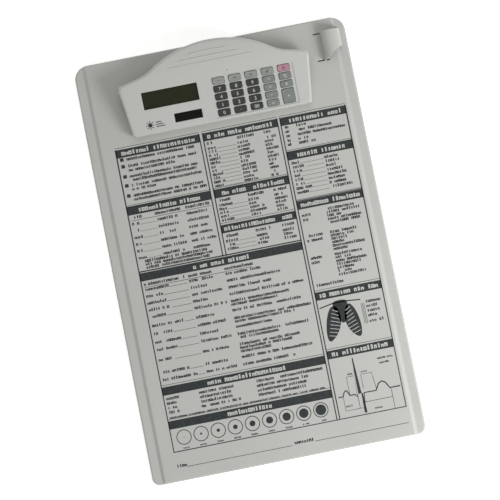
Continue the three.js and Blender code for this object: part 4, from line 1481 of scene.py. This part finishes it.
def keyTree():
    # a key cap: a rounded outline drawn up in steps from its flange to a dished crown
    tree, given = newTree("keyCap", {
        "Float": ["Width", "Depth", "Height", "Corner", "Overhang", "Flange", "Round", "Dish"],
        "Material": ["Plastic"],
    })
    sizes = {}
    for label in ("Width", "Depth"):
        sizes[label] = addNode(tree, "ShaderNodeMath", {
            0: given["Overhang"], 1: 2.0, 2: given[label],
        }, operation="MULTIPLY_ADD")
    plan = addNode(tree, "GeometryNodeCurvePrimitiveQuadrilateral", {
        "Width": sizes["Width"], "Height": sizes["Depth"],
    })
    rounded = addNode(tree, "GeometryNodeFilletCurve", {
        "Curve": plan, "Count": 5, "Radius": given["Corner"],
    }, mode="POLY")
    face = addNode(tree, "GeometryNodeFillCurve", {"Curve": rounded}, mode="NGONS")
    base = addNode(tree, "GeometryNodeFlipFaces", {"Mesh": face})
    body = face
    selected = True
    corner = addNode(tree, "GeometryNodeInputPosition")
    outward = addNode(tree, "ShaderNodeVectorMath", {0: corner}, operation="SIGN")

    # how far each step comes in and rises, as shares of the named sizes
    steps = [("Flange", 0, 1.0), ("Overhang", 1.0, 0), ("Height", 0, 1.0)]
    quarter = [math.pi / 8 * i for i in range(5)]
    for start, end in zip(quarter, quarter[1:]):
        steps.append(("Round", math.cos(start) - math.cos(end), math.sin(end) - math.sin(start)))
    for share, fall in keys["dishSteps"]:
        steps.append(("Round", share, 0, "Dish", -fall))
    for label, inset, rise, *fall in steps:
        amount = given[label]
        height = (given[fall[0]], fall[1]) if fall else (amount, rise)
        lift = addNode(tree, "ShaderNodeMath", {0: height[0], 1: height[1]}, operation="MULTIPLY")
        drawn = addNode(tree, "GeometryNodeExtrudeMesh", {
            "Mesh": body, "Selection": selected, "Offset": (0, 0, 1),
            "Offset Scale": lift, "Individual": False,
        })
        shift = addNode(tree, "ShaderNodeMath", {0: amount, 1: -inset}, operation="MULTIPLY")
        move = addNode(tree, "ShaderNodeCombineXYZ", {0: shift, 1: shift})
        inward = addNode(tree, "ShaderNodeVectorMath", {0: outward, 1: move}, operation="MULTIPLY")
        moved = addNode(tree, "GeometryNodeSetPosition", {
            "Geometry": drawn.outputs["Mesh"], "Selection": drawn.outputs["Top"],
            "Offset": inward,
        })
        body = moved
        selected = drawn.outputs["Top"]
    both = addNode(tree, "GeometryNodeJoinGeometry", {0: [body, base]})
    closed = addNode(tree, "GeometryNodeMergeByDistance", {"Geometry": both, "Distance": 0.01 * mm})
    caps = addNode(tree, "GeometryNodeInstanceOnPoints", {
        "Points": given["Geometry"], "Instance": closed,
    })
    return closeTree(tree, caps, given["Plastic"])


def keyFinish(name):
    # plastic, its slot and the legend's ink, from the key's row and column
    low = capBox(name)[0]
    keyLow, keyHigh = keypadBox()
    if name == "key_clear":
        return pinkKey, "red_key_plastic", ink, "chart_ink"
    if low.y > keyHigh.y - keys["lightRow"]:
        return lightKey, "light_key_plastic", ink, "chart_ink"
    if low.x < keyLow.x + keys["darkWidth"]:
        return charcoalKey, "dark_key_plastic", paleInk, "light_key_plastic"
    return greyKey, "grey_key_plastic", paleInk, "light_key_plastic"


def makeLegend(name, middle, inkUsed, slotName):
    curve = bpy.data.curves.new("legend", "FONT")
    curve.body = legends[name]
    curve.size = keys["legendSize"]
    curve.align_x = curve.align_y = "CENTER"
    curve.extrude = keys["legendRise"]
    curve.resolution_u = 3
    text = bpy.data.objects.new("legend", curve)
    bpy.context.scene.collection.objects.link(text)
    mesh = evaluated(text)
    bpy.data.objects.remove(text)
    shape = bmesh.new()
    shape.from_mesh(mesh)
    bpy.data.meshes.remove(mesh)
    bmesh.ops.remove_doubles(shape, verts=shape.verts, dist=0.001)
    xs = [vertex.co.x for vertex in shape.verts]
    ys = [vertex.co.y for vertex in shape.verts]
    centre = Vector(((min(xs) + max(xs)) / 2, (min(ys) + max(ys)) / 2, 0))
    place = clipPlace @ Matrix.Translation(middle - centre)
    piece = toObject(name.replace("key", "legend", 1), shape, place)
    settle(piece, name, slotName, inkUsed)


def makeKeys():
    tree = keyTree()
    for name in keyNodes:
        low, high = capBox(name)
        plastic, slotName, legend, legendSlot = keyFinish(name)
        rise = high.z - low.z - keys["flangeThickness"] - keys["round"]
        sizes = metres({
            "Width": high.x - low.x, "Depth": high.y - low.y, "Height": rise,
            "Corner": keys["corner"], "Round": keys["round"], "Dish": keys["dish"],
            "Overhang": keys["flangeOverhang"], "Flange": keys["flangeThickness"],
        })
        piece = grow(
            name.replace("key", "keycap", 1), tree, plainMesh([(0, 0, 0)]),
            {**sizes, "Plastic": plastic},
        )
        middle = (low + high) / 2
        foot = Vector((middle.x, middle.y, low.z))
        piece.data.transform(
            Matrix.Scale(mm, 4) @ clipPlace @ Matrix.Translation(foot) @ Matrix.Scale(1 / mm, 4)
        )
        smooth(piece, 50)
        settle(piece, name, slotName, plastic, name)
        crown = Vector((middle.x, middle.y, high.z - keys["dish"] * 0.6))
        makeLegend(name, crown, legend, legendSlot)


# Printed sign, display and solar window

sign = {
    "sun": (-62.5, -19.2), "radius": 1.9, "rays": 8, "ray": (2.5, 3.6),
    "bars": (-57.5, -49.5, 3), "barPitch": 1.9, "barStep": 1.6, "width": 0.9,
    "pip": (11.9, 15.0), "pipRadius": 0.45,
}


def makeSign():
    # a plain sun and three short bars in ink beside the solar cell
    height = housing["faceTop"] + 0.02
    x, y = sign["sun"]
    lines = []
    for ray in range(sign["rays"]):
        turn = 2 * math.pi * ray / sign["rays"]
        lines.append([(x + r * math.cos(turn), y + r * math.sin(turn)) for r in sign["ray"]])
    start, end, count = sign["bars"]
    for bar in range(count):
        level = y + (bar - 1) * sign["barPitch"]
        lines.append([(start, level), (end - sign["barStep"] * bar, level)])
    placed = [[clipPlace @ Vector((a, b, height)) for a, b in line] for line in lines]
    piece = grow("sun_sign", inkStroke, pathMesh(placed), {
        "Width": sign["width"] * mm, "Thickness": 0.1 * mm, "Ink": ink,
    })
    settle(piece, "clip", "chart_ink", ink)
    shape = bmesh.new()
    for spot, radius in ((sign["sun"], sign["radius"]), (sign["pip"], sign["pipRadius"])):
        prism(disc(*spot, radius), height - 0.05, height + 0.05, shape)
    settle(toObject("sun_sign_disc", shape, clipPlace), "clip", "chart_ink", ink)


def refined(node, name, body, slotName, material, width, segments=2):
    # the CAD piece with its edges broken, for pieces whose form is already right
    piece = toObject(name, cadCopy(node))
    soften(piece, width, segments)
    smooth(piece)
    settle(piece, body, slotName, material, node)


housingShell = texturedAbs("texturedAbsHousing", "c8c9c5", "bfc0bb", 0.6)
makeTopHousing()
makeRidges()
makeSign()
makeKeys()
for node, name, slotName, material, width in (
    ("lcd_lens", "display_window", "clear_window", acrylic, 0.12),
    ("solar_window", "solar_cover", "clear_window", acrylic, 0.12),
    ("lcd_panel", "display_panel", "display_glass", display, 0.1),
    ("solar_cell", "solar_panel", "solar_glass", silicon, 0.1),
    ("zebra_strip", "display_connector", "black_rubber", rubber, 0.12),
):
    refined(node, name, "clip", slotName, material, width)
print("calculator housing, keys and display ready")


# Clip base, hinge, fixings and springs

fixings = {
    "facets": 28, "domeSteps": 6,
    "rivetHead": 0.9, "rivetShank": 1.5,
    "pinHead": 0.8, "pinShank": 1.0,
    "screwHead": 1.2, "screwShank": 0.9, "threadPitch": 0.7,
    "coverScrewHead": 0.6, "coverScrewShank": 0.7,
    "crossWidth": 0.5, "crossShare": 0.62, "crossDepth": 0.7,
}
coinCell = {
    # heights and insets of the rolled foot, and depths and insets round the crimped mouth
    "foot": [(0, 0.8), (0.08, 0.3), (0.3, 0)],
    "mouth": [(0.8, 0), (0.55, 0.15), (0.48, 0.5), (0.56, 0.75), (0.2, 0.85), (0.05, 1.0), (0, 1.3)],
}
spring = {
    "x": 26, "turns": 4, "wire": 0.9, "pitch": 1.08, "radius": 1.85, "leg": 5.6, "stepsPerTurn": 28,
}


def turnedTree():
    # headed and turned metal: a round section along each path, as wide as its points say
    tree, given = newTree("turnedMetal", {"Int": ["Facets"], "Material": ["Metal"]})
    path = addNode(tree, "GeometryNodeMeshToCurve", {"Mesh": given["Geometry"]})
    girth = addNode(tree, "GeometryNodeInputNamedAttribute", {"Name": "girth"}, data_type="FLOAT")
    section = addNode(tree, "GeometryNodeCurvePrimitiveCircle", {
        "Resolution": given["Facets"], "Radius": 1.0,
    })
    skin = addNode(tree, "GeometryNodeCurveToMesh", {
        "Curve": path, "Profile Curve": section,
        "Scale": girth, "Fill Caps": True,
    })
    return closeTree(tree, skin, given["Metal"])


turnedMetal = turnedTree()


def turned(name, metal, lines):
    # lines are lists of (point, radius); all of them become one piece
    mesh = pathMesh([[point for point, girth in line] for line in lines])
    girths = mesh.attributes.new("girth", "FLOAT", "POINT")
    wanted = [girth for line in lines for point, girth in line]
    for item, girth in zip(girths.data, wanted):
        item.value = girth * mm
    return grow(name, turnedMetal, mesh, {"Facets": fixings["facets"], "Metal": metal})


def upright(profile, places):
    return [[(place @ Vector((0, 0, height)), girth) for height, girth in profile] for place in places]


def domedHead(radius, height):
    steps = fixings["domeSteps"]
    turns = [math.pi / 2 * i / steps for i in range(steps + 1)]
    return [(height * (1 - math.cos(t)), 0.01 + (radius - 0.01) * math.sin(t)) for t in turns]


def headedProfile(radius, head, shank, length):
    # a shank with a domed head at each end
    lower = domedHead(radius, head)
    upper = [(length - height, girth) for height, girth in reversed(lower)]
    return lower + [(head + 0.02, shank), (length - head - 0.02, shank)] + upper


def screwProfile(radius, head, shank, length):
    # a pan head and a coarse thread, drawn as rings
    profile = [(0, 0.7 * radius), (0.15 * head, 0.92 * radius), (0.4 * head, radius), (head, radius)]
    height = head + 0.02
    pitch = fixings["threadPitch"]
    while height < length - pitch:
        profile.extend([(height, 0.76 * shank), (height + pitch / 2, shank)])
        height += pitch
    return profile + [(length - 0.1, 0.7 * shank), (length, 0.4 * shank)]


def nodePlace(node, around):
    # the foot of a node's box in the axes of its body, and its radius and length
    low, high = clipBox(node) if around is clipPlace else inMm(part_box(node))
    middle = (low + high) / 2
    foot = around @ Matrix.Translation((middle.x, middle.y, low.z))
    return foot, (high.x - low.x) / 2, high.z - low.z


def makeRivets():
    nodes = [f"base_rivet_{index}" for index in range(1, 5)]
    found = [nodePlace(node, levelPlace) for node in nodes]
    radius, length = found[0][1:]
    profile = headedProfile(radius, fixings["rivetHead"], fixings["rivetShank"], length)
    piece = turned("base_rivets", zinc, upright(profile, [place for place, *rest in found]))
    smooth(piece)
    settle(piece, "board", "plated_steel", zinc, *nodes)


def makeScrews(name, nodes, head, shank):
    found = [nodePlace(node, clipPlace) for node in nodes]
    radius, length = found[0][1:]
    places = [place for place, *rest in found]
    piece = turned(name, zinc, upright(screwProfile(radius, head, shank, length), places))
    half = fixings["crossWidth"] / 2
    reach = fixings["crossShare"] * radius
    depth = min(fixings["crossDepth"], 0.7 * head)
    for place in places:
        for x, y in ((half, reach), (reach, half)):
            blade = prism([(-x, -y), (x, -y), (x, y), (-x, y)], -0.5, depth)
            combine(piece, toObject("blade", blade, place), "DIFFERENCE")
    smooth(piece, 35)
    settle(piece, "clip", "plated_steel", zinc, *nodes)


def makeHingeRod():
    low, high = inMm(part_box("hinge_pin"))
    middle = (low + high) / 2
    place = Matrix.Translation((low.x, middle.y, middle.z)) @ Matrix.Rotation(math.pi / 2, 4, "Y")
    radius, length = (high.y - low.y) / 2, high.x - low.x
    profile = headedProfile(radius, fixings["pinHead"], fixings["pinShank"], length)
    piece = turned("hinge_rod", zinc, upright(profile, [place]))
    smooth(piece)
    settle(piece, "board", "plated_steel", zinc, "hinge_pin")


def makeCoinCell():
    # a drawn can with a rolled foot, and the smaller cap crimped into its mouth
    place, radius, length = nodePlace("button_cell", clipPlace)
    profile = [(height, radius - inset) for height, inset in coinCell["foot"]]
    profile += [(length - depth, radius - inset) for depth, inset in coinCell["mouth"]]
    piece = turned("coin_cell", zinc, upright(profile, [place]))
    smooth(piece, 30)
    settle(piece, "clip", "plated_steel", zinc, "button_cell")


def makeSpring(side, direction):
    # a leg from the base plate, the coil round the hinge rod, and a leg that lifts the lever
    sweep = spring["turns"] + 0.5
    length = spring["pitch"] * sweep
    radius = spring["radius"]
    steps = round(sweep * spring["stepsPerTurn"])
    points = [(-length / 2, spring["leg"], -radius - 0.05)]
    for step in range(steps + 1):
        share = step / steps
        angle = -math.pi / 2 - share * sweep * 2 * math.pi
        points.append((length * (share - 0.5), radius * math.cos(angle), radius * math.sin(angle)))
    points.append((length / 2, spring["leg"], radius + spring["leg"] * math.sin(faceTilt)))
    middle = pivot + Vector((direction * spring["x"], 0, 0))
    line = [(middle + Vector(point), spring["wire"] / 2) for point in points]
    piece = turned(f"lever_spring_{side}", wire, [line])
    smooth(piece)
    settle(piece, None, "spring_steel", wire, f"torsion_spring_{side}")
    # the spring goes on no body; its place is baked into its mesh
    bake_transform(piece)


refined("clip_base", "hinge_base", "board", "plated_steel", zinc, 0.15)
refined("bottom_housing", "calculator_bottom", "clip", "shell_plastic", housingShell, 0.25)
refined("jaw_pad", "jaw_grip_pad", "clip", "black_rubber", rubber, 0.2)
makeHingeRod()
makeRivets()
refined("circuit_board", "circuit_laminate_board", "clip", "circuit_laminate", laminate, 0.05, 1)
refined("key_mat", "key_spring_mat", "clip", "black_rubber", rubber, 0.12)
makeCoinCell()
refined("battery_contact", "coin_cell_contact", "clip", "spring_steel", wire, 0.06)
refined("battery_cover", "coin_cell_cover", "clip", "shell_plastic", housingShell, 0.15)
makeScrews(
    "housing_screws", [f"case_screw_{index}" for index in range(1, 5)],
    fixings["screwHead"], fixings["screwShank"],
)
makeScrews(
    "cover_screw", ["battery_cover_screw"], fixings["coverScrewHead"], fixings["coverScrewShank"]
)
makeSpring("left", -1)
makeSpring("right", 1)
print("hinge and inner parts ready")
